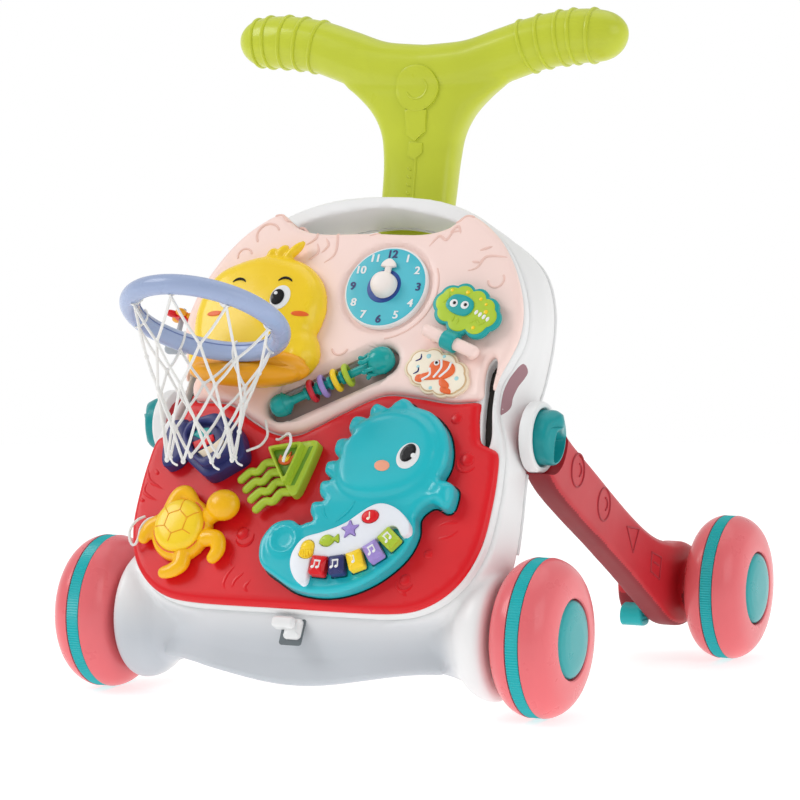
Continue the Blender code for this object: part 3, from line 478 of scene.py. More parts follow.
def frame_white_painted_shade(name, colour, painted_shade_colour):
    """White plastic with painted shade: it deepens to a cool grey where it tucks under at the front."""
    made = plastic(name, colour, rough=0.32, coat=0.15, vary=0.015)
    tree, links = made.node_tree, made.node_tree.links
    place = next(n for n in tree.nodes if n.type == "TEX_COORD")
    ramp = next(n for n in tree.nodes if n.type == "VALTORGB")
    split = node(tree, "SeparateXYZ")
    links.new(place.outputs["Object"], split.inputs[0])
    amount = None
    for axis, start, end in APRON_PAINTED_SHADE:
        fade = node(tree, "MapRange", From_Min=start, From_Max=end)
        fade.interpolation_type = "SMOOTHSTEP"
        links.new(split.outputs[axis], fade.inputs["Value"])
        if amount is None:
            amount = fade.outputs["Result"]
            continue
        both = node(tree, "Math")
        both.operation = "MULTIPLY"
        links.new(amount, both.inputs[0])
        links.new(fade.outputs["Result"], both.inputs[1])
        amount = both.outputs[0]
    # Mix the painted shade's grey into the white.
    blend = node(tree, "Mix")
    blend.data_type = "RGBA"
    blend.inputs["B"].default_value = linear(painted_shade_colour)
    links.new(amount, blend.inputs["Factor"])
    links.new(ramp.outputs["Color"], blend.inputs["A"])
    links.new(blend.outputs["Result"], tree.nodes["Principled BSDF"].inputs["Base Color"])
    return made


def cord_material(name, colour):
    """Braided nylon: fine slanted strands round each cord."""
    made = plastic(name, colour, rough=0.62, coat=0.0, vary=0.04, grain=0.0)
    tree, links = made.node_tree, made.node_tree.links
    place = next(n for n in tree.nodes if n.type == "TEX_COORD")
    strands = node(tree, "TexWave", Scale=420.0, Distortion=1.2)
    strands.wave_type = "BANDS"
    strands.bands_direction = "DIAGONAL"
    links.new(place.outputs["Object"], strands.inputs["Vector"])
    bump = next(n for n in tree.nodes if n.type == "BUMP")
    bump.inputs["Strength"].default_value = 0.5
    links.new(strands.outputs["Fac"], bump.inputs["Height"])
    return made


WHITE = plastic("white_plastic", "EEEFEF", rough=0.32, coat=0.15, vary=0.015)
PINK = plastic("pink_plastic", "FDE0D8", rough=0.34, coat=0.12, vary=0.02)
# Darker pink that paints the shade of the cover's raised lines.
PINK_RELIEF_PAINTED_SHADE = plastic("pink_relief_painted_shade_plastic", "F3CDC2", rough=0.38, coat=0.1, vary=0.02)
RED = plastic("red_plastic", "E01822", rough=0.32, coat=0.18)
CORAL = plastic("coral_plastic", "EB6F75", rough=0.28, coat=0.5)
TEAL = plastic("teal_plastic", "19B4B9", rough=0.3, coat=0.3)
CAP_TEAL = plastic("cap_plastic", "2BA3A6", rough=0.28, coat=0.35)
LIME = plastic("lime_plastic", "C6D03B", rough=0.29, coat=0.4)
LEG_RED = plastic("leg_plastic", "C22832", rough=0.38, coat=0.1)
YELLOW = plastic("yellow_plastic", "FFD62A", rough=0.27, coat=0.55)
TURTLE_YELLOW = plastic("turtle_plastic", "FBBD12", rough=0.27, coat=0.55)
ORANGE = plastic("orange_plastic", "F0A51A", rough=0.3, coat=0.3)
DEEP_ORANGE = plastic("deep_orange_plastic", "EE6A2C", rough=0.34, coat=0.2)
LILAC = plastic("lilac_plastic", "A2B2D4", rough=0.27, coat=0.5)
NAVY = plastic("navy_plastic", "33376F", rough=0.32, coat=0.25)
GREEN = plastic("green_plastic", "B2CC3A", rough=0.3, coat=0.3)
LEAF = plastic("leaf_plastic", "6E9B2C", rough=0.34, coat=0.2)
SEA = plastic("sea_plastic", "1DBCC8", rough=0.24, coat=0.75)
DARK = plastic("dark_plastic", "0C0D10", rough=0.25, coat=0.4)
SHADE = plastic("shade_plastic", "3C3A37", rough=0.6, coat=0.0)
LATCH_SHADE = plastic("latch_painted_shade_plastic", "6C7478", rough=0.6, coat=0.0)
# Mauve that paints the shadow beside the panel's waist.
WAIST_SHADOW_PAINT = plastic("waist_shadow_plastic", "A67F86", rough=0.6, coat=0.0)
STEEL = plastic("axle_steel", "C9CBCD", rough=0.25, coat=0.0, metal=1.0)
GREY = plastic("grey_plastic", "A9B0B8", rough=0.34, coat=0.2)
SKY = plastic("sky_plastic", "4DBFD0", rough=0.32, coat=0.2)
CREAM = plastic("cream_plastic", "FBF1DC", rough=0.36, coat=0.15, vary=0.02)
PEACH = plastic("peach_plastic", "F4A98A", rough=0.4, coat=0.1)
PURPLE = plastic("purple_plastic", "A58FD6", rough=0.3, coat=0.3)
WHITE_WARM = plastic("warm_white_plastic", "FAF0EA", rough=0.36, coat=0.1, vary=0.02)
# Pinkish grey that paints the shade in the bead slot.
BEAD_RECESS_PAINTED_SHADE = plastic("bead_recess_painted_shade_plastic", "B9A09B", rough=0.5, coat=0.0)
# Darker red that paints the shade of the legs' embossed marks.
LEG_RELIEF_PAINTED_SHADE = plastic("leg_mark_painted_shade_plastic", "A52C36", rough=0.4, coat=0.1)
KNOB_TEAL = plastic("knob_plastic", "129296", rough=0.34, coat=0.15)
# Darker red that paints the shade on the legs' undersides.
LEG_PAINTED_SHADE = plastic("leg_painted_shade_plastic", "8A222A", rough=0.55, coat=0.0)
# Darker lilac that paints the shade in the hoop's groove.
LILAC_GROOVE_PAINTED_SHADE = plastic("lilac_groove_painted_shade_plastic", "6F7FB0", rough=0.4, coat=0.1)
ROYAL = plastic("royal_plastic", "264A97", rough=0.32, coat=0.2)
LIME_CARD = plastic("card_lime_plastic", "B7D437", rough=0.34, coat=0.2, vary=0.12)
CARD_TEAL = plastic("card_teal_plastic", "1FA6A6", rough=0.34, coat=0.2)
BEIGE = plastic("beige_plastic", "F3E2C6", rough=0.4, coat=0.1, vary=0.02)
BEIGE_LINE = plastic("beige_line_plastic", "D9B98F", rough=0.4, coat=0.1)
CLOWN = plastic("clown_plastic", "EE6B33", rough=0.36, coat=0.15)
PALE_BLUE = plastic("pale_blue_plastic", "A9DCE2", rough=0.4, coat=0.1)
BEAD_TEAL = plastic("bead_teal_plastic", "12A3A0", rough=0.22, coat=0.5)
RING_RED = plastic("ring_red_plastic", "CE2A3A", rough=0.28, coat=0.3)
PLATE = plastic("plate_white_plastic", "EDF1F8", rough=0.32, coat=0.15, vary=0.015)
CORD = cord_material("nylon_cord", "F3F2EF")
# White with painted shade: cool grey where the apron tucks under at the front.
FRAME_WHITE_PAINTED_SHADE = frame_white_painted_shade("frame_white_painted_shade_plastic", "F1F1F1", "C6CBD1")


def in_scene(name, data):
    """A new object, linked into the scene."""
    made = bpy.data.objects.new(name, data)
    bpy.context.scene.collection.objects.link(made)
    return made


def piece(name, shape, materials, body, nodes=(), angle=38.0):
    """Put a shape in the scene as a piece that rides on a body and stands for CAD nodes."""
    mesh = shape if isinstance(shape, bpy.types.Mesh) else shape.mesh(name, angle)
    made = in_scene(name, mesh)
    kinds = [face.material_index for face in mesh.polygons]
    mesh.materials.clear()
    for one in materials if isinstance(materials, (list, tuple)) else (materials,):
        mesh.materials.append(one)
    mesh.polygons.foreach_set("material_index", kinds)
    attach(made, body)
    if nodes:
        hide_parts(*nodes)
    return made


def organic(name, shape, voxel, smooth):
    """Melt a shape's overlapping solids into one soft skin."""
    holder = in_scene(name, shape.mesh(name))
    melt = holder.modifiers.new("melt", "REMESH")
    melt.mode = "VOXEL"
    melt.voxel_size = voxel
    soften = holder.modifiers.new("soften", "SMOOTH")
    soften.iterations = smooth
    soften.factor = 0.5
    graph = bpy.context.evaluated_depsgraph_get()
    mesh = bpy.data.meshes.new_from_object(holder.evaluated_get(graph))
    bpy.data.objects.remove(holder, do_unlink=True)
    mesh.shade_smooth()
    mesh.set_sharp_from_angle(angle=math.radians(60))
    return mesh


# ---------------------------------------------------------------- camera, light, floor
SKY_LEVEL, FRONT_LEVEL, KEY_LEVEL = 0.68, 0.58, 42.0
LAMP_TARGET_Z = 0.22
LENS, SENSOR = 144.0, 36.0
FLOOR_REACH, FLOOR_DROP, FLOOR_GLOW = 2.2, -0.0005, 0.66
AZIMUTH, ELEVATION = math.radians(25.301), math.radians(3.7854)
CAMERA_AT = (1.0022, -1.9885 + FRONT_AXLE_Y, 0.3591)


def stage():
    """Camera, soft white surroundings, three lamps and the pale floor."""
    a, e = AZIMUTH, ELEVATION
    back = Vector((math.sin(a) * math.cos(e), -math.cos(a) * math.cos(e), math.sin(e)))
    right = Vector((math.cos(a), math.sin(a), 0))
    up = back.cross(right)
    turn = Matrix((right, up, back)).transposed().to_4x4()
    lens = bpy.data.cameras.new("camera")
    lens.lens, lens.sensor_width = LENS, SENSOR
    lens.clip_start, lens.clip_end = 0.05, 30.0
    camera = in_scene("camera", lens)
    camera.matrix_world = Matrix.Translation(CAMERA_AT) @ turn
    bpy.context.scene.camera = camera

    world = bpy.data.worlds.new("studio")
    world.use_nodes = True
    tree, links = world.node_tree, world.node_tree.links
    ray, split = node(tree, "TexCoord"), node(tree, "SeparateXYZ")
    links.new(ray.outputs["Generated"], split.inputs[0])
    fade = node(tree, "MapRange", From_Min=0.07, From_Max=0.35, To_Min=1.0, To_Max=SKY_LEVEL)
    fade.interpolation_type = "SMOOTHSTEP"
    links.new(split.outputs["Z"], fade.inputs["Value"])
    front = node(tree, "MapRange", From_Min=-0.3, From_Max=0.25, To_Min=FRONT_LEVEL, To_Max=1.0)
    links.new(split.outputs["Y"], front.inputs["Value"])
    level = node(tree, "Math")
    level.operation = "MULTIPLY"
    links.new(fade.outputs["Result"], level.inputs[0])
    links.new(front.outputs["Result"], level.inputs[1])
    background = tree.nodes["Background"]
    links.new(level.outputs[0], background.inputs["Strength"])
    background.inputs["Color"].default_value = (1.0, 1.0, 1.0, 1.0)
    bpy.context.scene.world = world
    for name, spot, size, power in (("key", (-2.3, -1.5, 2.3), 1.6, KEY_LEVEL),
                                    ("fill", (2.4, -0.9, 1.3), 1.6, 13.0),
                                    ("top", (0.2, 0.4, 2.4), 1.8, 8.0)):
        lamp = bpy.data.lights.new(name, "AREA")
        lamp.size, lamp.energy = size, power
        made = in_scene(name, lamp)
        made.location = spot
        aim = Vector((0, 0, LAMP_TARGET_Z)) - Vector(spot)
        made.rotation_euler = aim.to_track_quat("-Z", "Y").to_euler()

    ring = [(FLOOR_REACH * math.cos(t), FLOOR_REACH * math.sin(t), FLOOR_DROP) for t in around(96)]
    shape = Shape().add(ring, [tuple(range(96))])
    floor = in_scene("floor", shape.mesh("floor"))
    paint = plastic("pale_floor", "C8C8C8", rough=0.7, coat=0.0, vary=0.006)
    shader = paint.node_tree.nodes["Principled BSDF"]
    shader.inputs["Emission Color"].default_value = (1.0, 1.0, 1.0, 1.0)
    shader.inputs["Emission Strength"].default_value = FLOOR_GLOW
    floor.data.materials.append(paint)
    bpy.context.scene.view_settings.view_transform = "Standard"


stage()

# ---------------------------------------------------------------- frame
FRAME_HALF = mm([(0, 338), (40, 335), (75, 323), (103, 307), (123, 288), (134.5, 262), (138.7, 235),
                 (139, 208), (136.8, 182), (136.8, 160), (138, 142), (140, 120), (142.5, 95),
                 (143.5, 70), (140, 45), (126, 24), (102, 11), (74, 7.2), (40, 6.8), (0, 6.8)])
FRONT_HALF = mm([(0, 336), (40, 333), (73, 321.5), (96, 304.5), (114, 285), (126.5, 261), (132.8, 240),
                 (133.8, 219), (128.5, 201), (122.5, 184.5), (125.8, 164.5), (134.3, 144), (138.5, 122),
                 (140.5, 95), (139, 62.5), (127.8, 34.5), (106.2, 15.5), (75.7, 8.2), (40, 7.6),
                 (0, 7.5)])
GRIP_SLOT = mm([(0, 303), (34, 302.5), (56, 304), (68, 307), (62, 313), (40, 320.5), (0, 326.5),
                (-40, 320.5), (-62, 313), (-68, 307), (-56, 304), (-34, 302.5)])
WAIST_SLOT = mm([(112, 196), (116, 203.5), (120, 199), (119.5, 184), (120.8, 166), (124.5, 146),
                 (123.5, 136), (119, 139), (115.5, 156), (113.2, 176)])
# Outline of the painted shadow beside the panel's waist.
WAIST_SHADOW_OUTLINE = mm([(131.8, 206.8), (127.6, 199), (124.3, 191.5), (122.6, 184), (122.7, 176.5),
                  (123.6, 169), (124.6, 165.5), (126.2, 169), (127.7, 175), (127.6, 182.5),
                  (129.2, 190.5), (132, 197.5), (133.6, 203.5)])


def flipped(points):
    """The left-hand twin of a right-hand outline."""
    return [(-x, y) for x, y in reversed(points)]


def even(ring, count):
    """A loop drawn again with evenly spaced points."""
    closed = np.vstack((ring, ring[:1]))
    run = np.concatenate(([0.0], np.cumsum(np.linalg.norm(np.diff(closed, axis=0), axis=1))))
    spots = np.linspace(0, run[-1], count, endpoint=False)
    return np.stack([np.interp(spots, run, closed[:, k]) for k in (0, 1)], 1)


def cut(mesh, tool):
    """One mesh less another."""
    one, two = in_scene("cut_from", mesh), in_scene("cut_tool", tool)
    step = one.modifiers.new("cut", "BOOLEAN")
    step.object, step.operation, step.solver = two, "DIFFERENCE", "EXACT"
    graph = bpy.context.evaluated_depsgraph_get()
    out = bpy.data.meshes.new_from_object(one.evaluated_get(graph))
    for made in (one, two):
        bpy.data.objects.remove(made, do_unlink=True)
    out.shade_smooth()
    out.set_sharp_from_angle(angle=math.radians(40))
    return out


def lip_height(x):
    """How high the apron's lower edge stands at x."""
    return 0.0165 + 0.012 * (1 - math.cos(math.pi * min(abs(x) / 0.1, 1.0))) / 2


def apron_set_back(x):
    """How far the apron falls back towards the feet."""
    t = min(max((abs(x) - 0.058) / 0.052, 0.0), 1.0)
    return 0.015 * t * t * (3 - 2 * t)


APRON = mm([(-181.2, 67), (-180, 60), (-178, 48), (-178.3, 36), (-180.5, 26), (-181.8, 21),
            (-180, 17.5), (-176, 16.5), (-150, 19), (-145, 67)])


def frame_body():
    """Leaning body whose walls flare towards the back, with the carrying slot through it."""
    back = even(loop(mirrored(FRAME_HALF), 0.003), 220)
    front = even(loop(mirrored(FRONT_HALF), 0.003), 220)
    rings = []
    for h, mix, shrink in ((-0.034, 1.0, 0.988), (-0.033, 1.0, 0.996), (-0.0315, 1.0, 1.0),
                           (-0.025, 0.95, 1.0), (-0.017, 0.78, 1.0), (-0.01, 0.46, 1.0),
                           (-0.005, 0.18, 1.0), (-0.0018, 0.03, 1.0), (-0.0006, 0.0, 0.997),
                           (0.0, 0.0, 0.988)):
        ring = front + (back - front) * mix
        middle = np.array((0.0, 0.17))
        ring = middle + (ring - middle) * shrink
        rings.append([(*p, h) for p in ring])
    mesh = Shape().loft(rings, PANEL).mesh("body")
    for hole in (GRIP_SLOT, WAIST_SLOT, flipped(WAIST_SLOT)):
        tool = Shape().pillow(loop(hole), -0.06, 0.03, edge=0.0001, grain=0.02, rings=1)
        mesh = cut(mesh, tool.mesh("slot"))
    return mesh


def frame_shell():
    """White moulding: body, apron below the panel, and the two domed feet on flared necks."""
    body = Shape()
    core = frame_body()
    body.add([tuple(v.co) for v in core.vertices], [tuple(p.vertices) for p in core.polygons], WORLD)
    rings = []
    for x in np.linspace(-0.108, 0.108, 49):
        low, drop = lip_height(x), apron_set_back(x)
        scale = (0.067 - low) / (0.067 - 0.0165)
        rings.append([(x, y + drop * (y < -0.155), 0.067 - (0.067 - z) * scale) for y, z in APRON])
    body.loft(rings, WORLD)
    for side in (-1, 1):
        spot = along((0.0, FRONT_AXLE_Y, WHEEL_RADIUS), (side, 0, 0))
        quarter = np.linspace(0, math.pi / 2, 22)
        dome = [(0.046 * math.sin(t), 0.136 - 0.0285 * math.cos(t)) for t in quarter]
        dome += mm([(45.9, 138), (45.2, 139.8), (43.5, 141.6), (40, 142.5), (0, 142.5)])
        body.lathe([(max(r, 0.0), z) for r, z in dome], spot, 72)
        neck = mm([(0, 40), (27, 40), (27.8, 70), (28.8, 90), (30.5, 104), (33.5, 114), (37, 121.5),
                   (0, 130)])
        smooth_neck = [neck[0]] + [tuple(p) for p in path(neck[1:-1], 0.003)] + [neck[-1]]
        body.lathe(smooth_neck, spot, 64)
    mesh = organic("frame_shell_skin", body, voxel=0.0015, smooth=9)
    piece("frame_shell_skin", mesh, FRAME_WHITE_PAINTED_SHADE, "base", ["frame_shell"])
    rim = Shape()
    outline = loop(mirrored(FRAME_HALF), 0.003)
    edge = np.column_stack((outline, np.full(len(outline), -FRAME_DEPTH + 0.0014)))
    keep = edge[edge[:, 1] > 0.075]
    start = int(np.argmax(np.linalg.norm(np.diff(np.vstack((keep, keep[:1])), axis=0), axis=1)))
    keep = np.roll(keep, -(start + 1), 0)
    rim.tube(keep, 0.0011, sides=8)
    piece("frame_rim_beads", rim, WHITE, "base")
    # Dark plates deep in the waist slots: painted shade that darkens them.
    shade = Shape()
    for outline in (loop(WAIST_SLOT), loop(flipped(WAIST_SLOT))):
        shade.pillow(offset(outline, 0.0006), -0.008, -0.0012, edge=0.0004, grain=0.004)
    piece("waist_slot_painted_shade", shade, SHADE, "base")
    return mesh


def offset(ring, distance):
    """A loop moved outwards."""
    ahead, behind = np.roll(ring, -1, 0), np.roll(ring, 1, 0)
    run = ahead - behind
    run = unit_rows(run)
    side = np.stack((run[:, 1], -run[:, 0]), 1)
    test = inside(ring + side * 1e-5, [ring])
    side[test] *= -1
    return ring + side * distance


FRAME_SKIN = frame_shell()


# ---------------------------------------------------------------- wheels
def wheels():
    """Four wheels, each a coral tyre with a ribbed teal band and a hub cap."""
    for name, side, x, y, body in (
            ("front_left", -1, FRONT_WHEEL_X, FRONT_AXLE_Y, "front_wheel_left"),
            ("front_right", 1, FRONT_WHEEL_X, FRONT_AXLE_Y, "front_wheel_right"),
            ("rear_left", -1, REAR_WHEEL_X, FRONT_AXLE_Y + WHEELBASE, "rear_wheel_left"),
            ("rear_right", 1, REAR_WHEEL_X, FRONT_AXLE_Y + WHEELBASE, "rear_wheel_right")):
        spot = along((side * x, y, WHEEL_RADIUS), (side, 0, 0))
        half, groove = WHEEL_HALF_WIDTH, 0.0052

        def crown(t):
            return WHEEL_RADIUS * (0.6 + 0.4 * math.sqrt(max(0.0, 1 - abs(t) ** 2.25)))

        outer = [(0.0, half - 0.006), (CAP_RADIUS + 0.0008, half - 0.006),
                 (CAP_RADIUS + 0.0008, half - 0.0008), (CAP_RADIUS + 0.0016, half)]
        steps = 26
        for k in range(steps + 1):
            t = 1 - 2 * k / steps
            if abs(t * half) >= groove:
                outer.append((crown(t), half * t))
            elif not outer or outer[-1][1] > groove * 0.99:
                outer += [(crown(groove / half), groove), (crown(0) - 0.0022, groove - 0.0002),
                          (crown(0) - 0.0022, -groove + 0.0002), (crown(groove / half), -groove)]
        outer += [(0.02, -half), (0.018, -half + 0.002), (0.0, -half + 0.002)]
        clean = [outer[0]]
        for p in outer[1:]:
            if math.dist(p, clean[-1]) > 1e-5:
                clean.append(p)
        tyre = Shape().lathe(clean, spot, 96)
        piece(f"wheel_{name}_tyre", tyre, CORAL, body, [f"wheel_{name}"], angle=40)

        band = Shape()
        ribs = 180
        ring = []
        for z in (-groove + 0.0004, -groove + 0.0008, groove - 0.0008, groove - 0.0004):
            edge = abs(z) > groove - 0.0006
            row = []
            for k in range(ribs * 2):
                a = math.tau * k / (ribs * 2)
                bulge = crown(z / half) - 0.0003 - (0.0014 if edge else 0.0)
                r = bulge - (0.00045 if k % 2 else 0.0)
                row.append((r * math.cos(a), r * math.sin(a), z))
            ring.append(row)
        band.loft(ring, spot)
        piece(f"wheel_{name}_band", band, TEAL, body, angle=25)

        cap = rounded([(0.0, 0.003), (0.012, 0.0028), (0.02, 0.002), (CAP_RADIUS - 0.0022, 0.0006),
                       (CAP_RADIUS - 0.0003, -0.0012), (CAP_RADIUS - 0.0003, -0.003), (0.0, -0.003)],
                      0.002)
        face = spot @ Matrix.Translation((0, 0, half - 0.0004))
        piece(f"hub_cap_{name}_disc", Shape().lathe(cap, face, 72), CAP_TEAL, body,
              [f"hub_cap_{name}"])


wheels()

# ---------------------------------------------------------------- drawing on a surface
# Front frame: x across, y up, z forwards.
FRONT = Matrix(((1, 0, 0, 0), (0, 0, -1, 0), (0, 1, 0, 0), (0, 0, 0, 1)))
DECAL_ROOT = 0.0006     # how far a decal reaches into the surface under it


def surface(mesh, matrix=PANEL, far=0.12):
    """The height of a mesh above a drawing plane, as a function of x and y arrays."""
    tree = BVHTree.FromPolygons([v.co for v in mesh.vertices], [tuple(p.vertices)
                                                                for p in mesh.polygons])
    back = matrix.inverted()
    down = (matrix.to_3x3() @ Vector((0, 0, -1))).normalized()

    def height(x, y):
        out = []
        for px, py in zip(np.ravel(x), np.ravel(y)):
            hit = tree.ray_cast(matrix @ Vector((px, py, far)), down)[0]
            out.append((back @ hit).z if hit is not None else 0.0)
        return np.array(out)
    return height


def flat(level):
    """A level drawing surface."""
    return lambda x, y: np.full(np.size(x), level)


def stroke(shape, points, ground, radius=0.0008, lift=0.0, matrix=PANEL, mat=0, closed=False,
           flat_ratio=1.0, taper=0.0, step=0.0012):
    """A raised line that follows a surface."""
    line = hermite(points, set(), closed, step)
    line = np.column_stack((line[:, :2], ground(line[:, 0], line[:, 1]) + lift))
    return shape.tube(line, radius, 8, closed, up=(0, 0, 1), flat=flat_ratio, matrix=matrix,
                      mat=mat, taper=taper)


def arc(cx, cy, radius, start, end, count=14):
    """Points on an arc, in degrees."""
    a = np.radians(np.linspace(start, end, count))
    return np.stack((cx + radius * np.cos(a), cy + radius * np.sin(a)), 1)


def decal(shape, outline, ground, thick=0.0005, lift=0.0, edge=0.0003, grain=0.002, matrix=PANEL,
          mat=0):
    """A thin plate laid on a surface."""
    return shape.pillow(outline, lift - DECAL_ROOT, lift + thick, edge=edge, grain=grain,
                        matrix=matrix, mat=mat, rings=2, ground=ground)


def bubble(shape, x, y, radius, ground, height):
    """A low round boss on a surface."""
    z = float(ground([x], [y])[0])
    return shape.ball((x, y, z), (radius, radius, radius * height), segments=20)


def waist_painted_shadows():
    """Mauve patches on the frame beside the panel's waist: painted shadow in the hollows there."""
    ground, painted_shadows = surface(FRAME_SKIN), Shape()
    for outline in (WAIST_SHADOW_OUTLINE, flipped(WAIST_SHADOW_OUTLINE)):
        decal(painted_shadows, loop(outline, 0.0015), ground, 0.0002, edge=0.0002, grain=0.0015)
    piece("waist_painted_shadows", painted_shadows, WAIST_SHADOW_PAINT, "base")


waist_painted_shadows()


# ---------------------------------------------------------------- cords
CORD_ROUTES = {
    "cord_turtle": ("turtle_piece", mm([
        (-123.5, 71, 16.5), (-127.5, 66.5, 19.5), (-130.5, 59, 20.5), (-129, 51, 19.5),
        (-125.5, 48, 18.5), (-123.2, 53, 19), (-123.5, 61.5, 18.5), (-120, 68, 18),
        (-113, 70.5, 18)])),
    "cord_jellyfish": ("jellyfish_piece", mm([
        (-34, 134, 16.5), (-29, 132.5, 20.5), (-18, 133, 30), (-13, 125, 33.5), (-15, 116, 33.5),
        (-16.5, 111, 31.2)])),
    "cord_fish": ("fish_piece", mm([
        (-46, 148, 16.5), (-43, 143, 19), (-40, 135, 20), (-42.5, 127, 21.5), (-49, 123, 22.5),
        (-52, 121.5, 22.8)])),
}


def smooth_route(points, spacing):
    """Points every spacing along a smooth curve through the route."""
    route = [Vector(p) for p in points]
    dense = []
    for i in range(len(route) - 1):
        p0, p1, p2 = route[max(i - 1, 0)], route[i], route[i + 1]
        p3 = route[min(i + 2, len(route) - 1)]
        for k in range(12):
            t = k / 12
            dense.append(0.5 * ((2 * p1) + (p2 - p0) * t + (2 * p0 - 5 * p1 + 4 * p2 - p3) * t * t
                                + (3 * p1 - p0 - 3 * p2 + p3) * t ** 3))
    dense.append(route[-1])
    kept = [dense[0]]
    for point in dense[1:]:
        if (point - kept[-1]).length >= spacing:
            kept.append(point)
    if (kept[-1] - dense[-1]).length > spacing * 0.3:
        kept.append(dense[-1])
    return kept


def cords():
    """The short white cords that keep the sorter blocks with the panel."""
    for name, (body, points) in CORD_ROUTES.items():
        line = [PANEL @ p for p in smooth_route(points, 0.0016)]
        curve = bpy.data.curves.new(name + "_line", "CURVE")
        curve.dimensions = "3D"
        curve.bevel_depth = 0.001
        curve.bevel_resolution = 3
        curve.use_fill_caps = True
        spline = curve.splines.new("POLY")
        spline.points.add(len(line) - 1)
        for knot, point in zip(spline.points, line):
            knot.co = (*point, 1)
        curve.materials.append(CORD)
        made = in_scene(name + "_line", curve)
        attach(made, body)
        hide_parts(name)


cords()


# ---------------------------------------------------------------- handle
STEM_RINGS = ((0.336, 0.161, 0.0278, 0.015), (0.356, 0.166, 0.0282, 0.016),
              (0.375, 0.17, 0.0288, 0.0165), (0.395, 0.173, 0.0312, 0.017),
              (0.408, 0.1745, 0.0365, 0.0172), (0.418, 0.1755, 0.044, 0.017),
              (0.428, 0.176, 0.055, 0.016), (0.437, 0.176, 0.066, 0.013),
              (0.445, 0.176, 0.06, 0.009))
GRIP_RINGS = ((0.0, 0.176, 0.444, 0.0215, 0.0165), (0.036, 0.177, 0.448, 0.0205, 0.017),
              (0.066, 0.18, 0.4575, 0.02, 0.018), (0.092, 0.183, 0.4655, 0.0198, 0.0188),
              (0.12, 0.185, 0.4695, 0.02, 0.0193), (0.14, 0.186, 0.4697, 0.019, 0.0183),
              (0.151, 0.186, 0.469, 0.0155, 0.0148), (0.158, 0.186, 0.468, 0.009, 0.0085),
              (0.1602, 0.186, 0.4675, 0.003, 0.003))


def oval(centre, across, through, width, depth, count=40, power=2.3):
    """A ring of points on a rounded box of the given half sizes."""
    out = []
    for k in range(count):
        turn = math.tau * k / count
        c, s = math.cos(turn), math.sin(turn)
        x = math.copysign(abs(c) ** (2 / power), c) * width
        y = math.copysign(abs(s) ** (2 / power), s) * depth
        out.append(tuple(centre + across * x + through * y))
    return out


def handle():
    """Lime Y handle, one soft moulding, with ribbed grips and a medal on its front."""
    across, back = Vector((1, 0, 0)), Vector((0, 1, 0))
    lean = Vector((0, math.cos(PANEL_LEAN), -math.sin(PANEL_LEAN)))
    shape = Shape()
    stem = [oval(PANEL @ Vector((0, v, STEM_H)), across, lean, 0.025, 0.013, power=5)
            for v in (0.205, 0.24, 0.28, 0.312)]
    for z, y, wide, deep in path(STEM_RINGS, 0.004):
        stem.append(oval(Vector((0, FRONT_AXLE_Y + y, z)), across, back, wide, deep, power=3.2))
    shape.loft(stem)
    half = path(GRIP_RINGS, 0.0035)
    spine = [(-r[0] * 0.99, *r[1:]) for r in half[:0:-1]] + [(r[0] * 0.974, *r[1:]) for r in half]
    rings = []
    for i, (x, y, z, tall, deep) in enumerate(spine):
        one, two = spine[max(i - 1, 0)], spine[min(i + 1, len(spine) - 1)]
        run = Vector((two[0] - one[0], two[1] - one[1], two[2] - one[2])).normalized()
        up = back.cross(-run).normalized()
        rings.append(oval(Vector((x, FRONT_AXLE_Y + y, z)), back, up, deep, tall, power=2.15))
    shape.loft(rings)
    mesh = organic("handle_skin", shape, voxel=0.0018, smooth=12)
    piece("handle_skin", mesh, LIME, "base", ["handle"])

    ribs = Shape()
    for x in (-0.144, -0.1325, -0.12, -0.1065, -0.092, 0.08, 0.0935, 0.106, 0.1185, 0.1315):
        near = min(range(len(spine)), key=lambda i: abs(spine[i][0] - x))
        cx, y, z, tall, deep = spine[near]
        one, two = spine[near - 1], spine[near + 1]
        run = Vector((two[0] - one[0], two[1] - one[1], two[2] - one[2])).normalized()
        up = back.cross(-run).normalized()
        line = oval(Vector((cx, FRONT_AXLE_Y + y, z)), back, up, deep - 0.0003, tall - 0.0003, 56, 2.15)
        ribs.tube(line, 0.0016, 8, closed=True, matrix=WORLD, up=tuple(run))
    piece("handle_grip_ribs", ribs, LIME, "base")

    ground = surface(mesh, FRONT, 0.3)
    medal = Shape()
    decal(medal, circle(0.0005, 0.433, 0.0172, 64), ground, thick=0.0017, edge=0.0005,
          matrix=FRONT, grain=0.003)
    stroke(medal, arc(0.0003, 0.4335, 0.0084, 40, -150, 24), ground, 0.0009, 0.0014, FRONT)
    tag = mm([(-8.5, 417), (9, 417), (9, 401), (1, 394), (-6, 398.5)])
    decal(medal, loop(tag, 0.002, range(5)), ground, thick=0.0014, matrix=FRONT)
    tag = mm([(-4, 393.5), (7, 392.5), (7, 385), (1, 380), (-5, 383)])
    decal(medal, loop(tag, 0.002, range(5)), ground, thick=0.001, matrix=FRONT)
    stroke(medal, [(0.002, 0.3815), (0.0022, 0.35)], ground, 0.0009, 0.0, FRONT)
    for z in (0.374, 0.368, 0.362, 0.356):
        stroke(medal, [(-0.0035, z), (-0.0015, z - 0.0012)], ground, 0.0008, 0.0, FRONT)
    piece("handle_medal", medal, LIME, "base")


handle()

# ---------------------------------------------------------------- rear legs
CUP_BACK, KNOB_RADIUS = 0.14, 0.0192
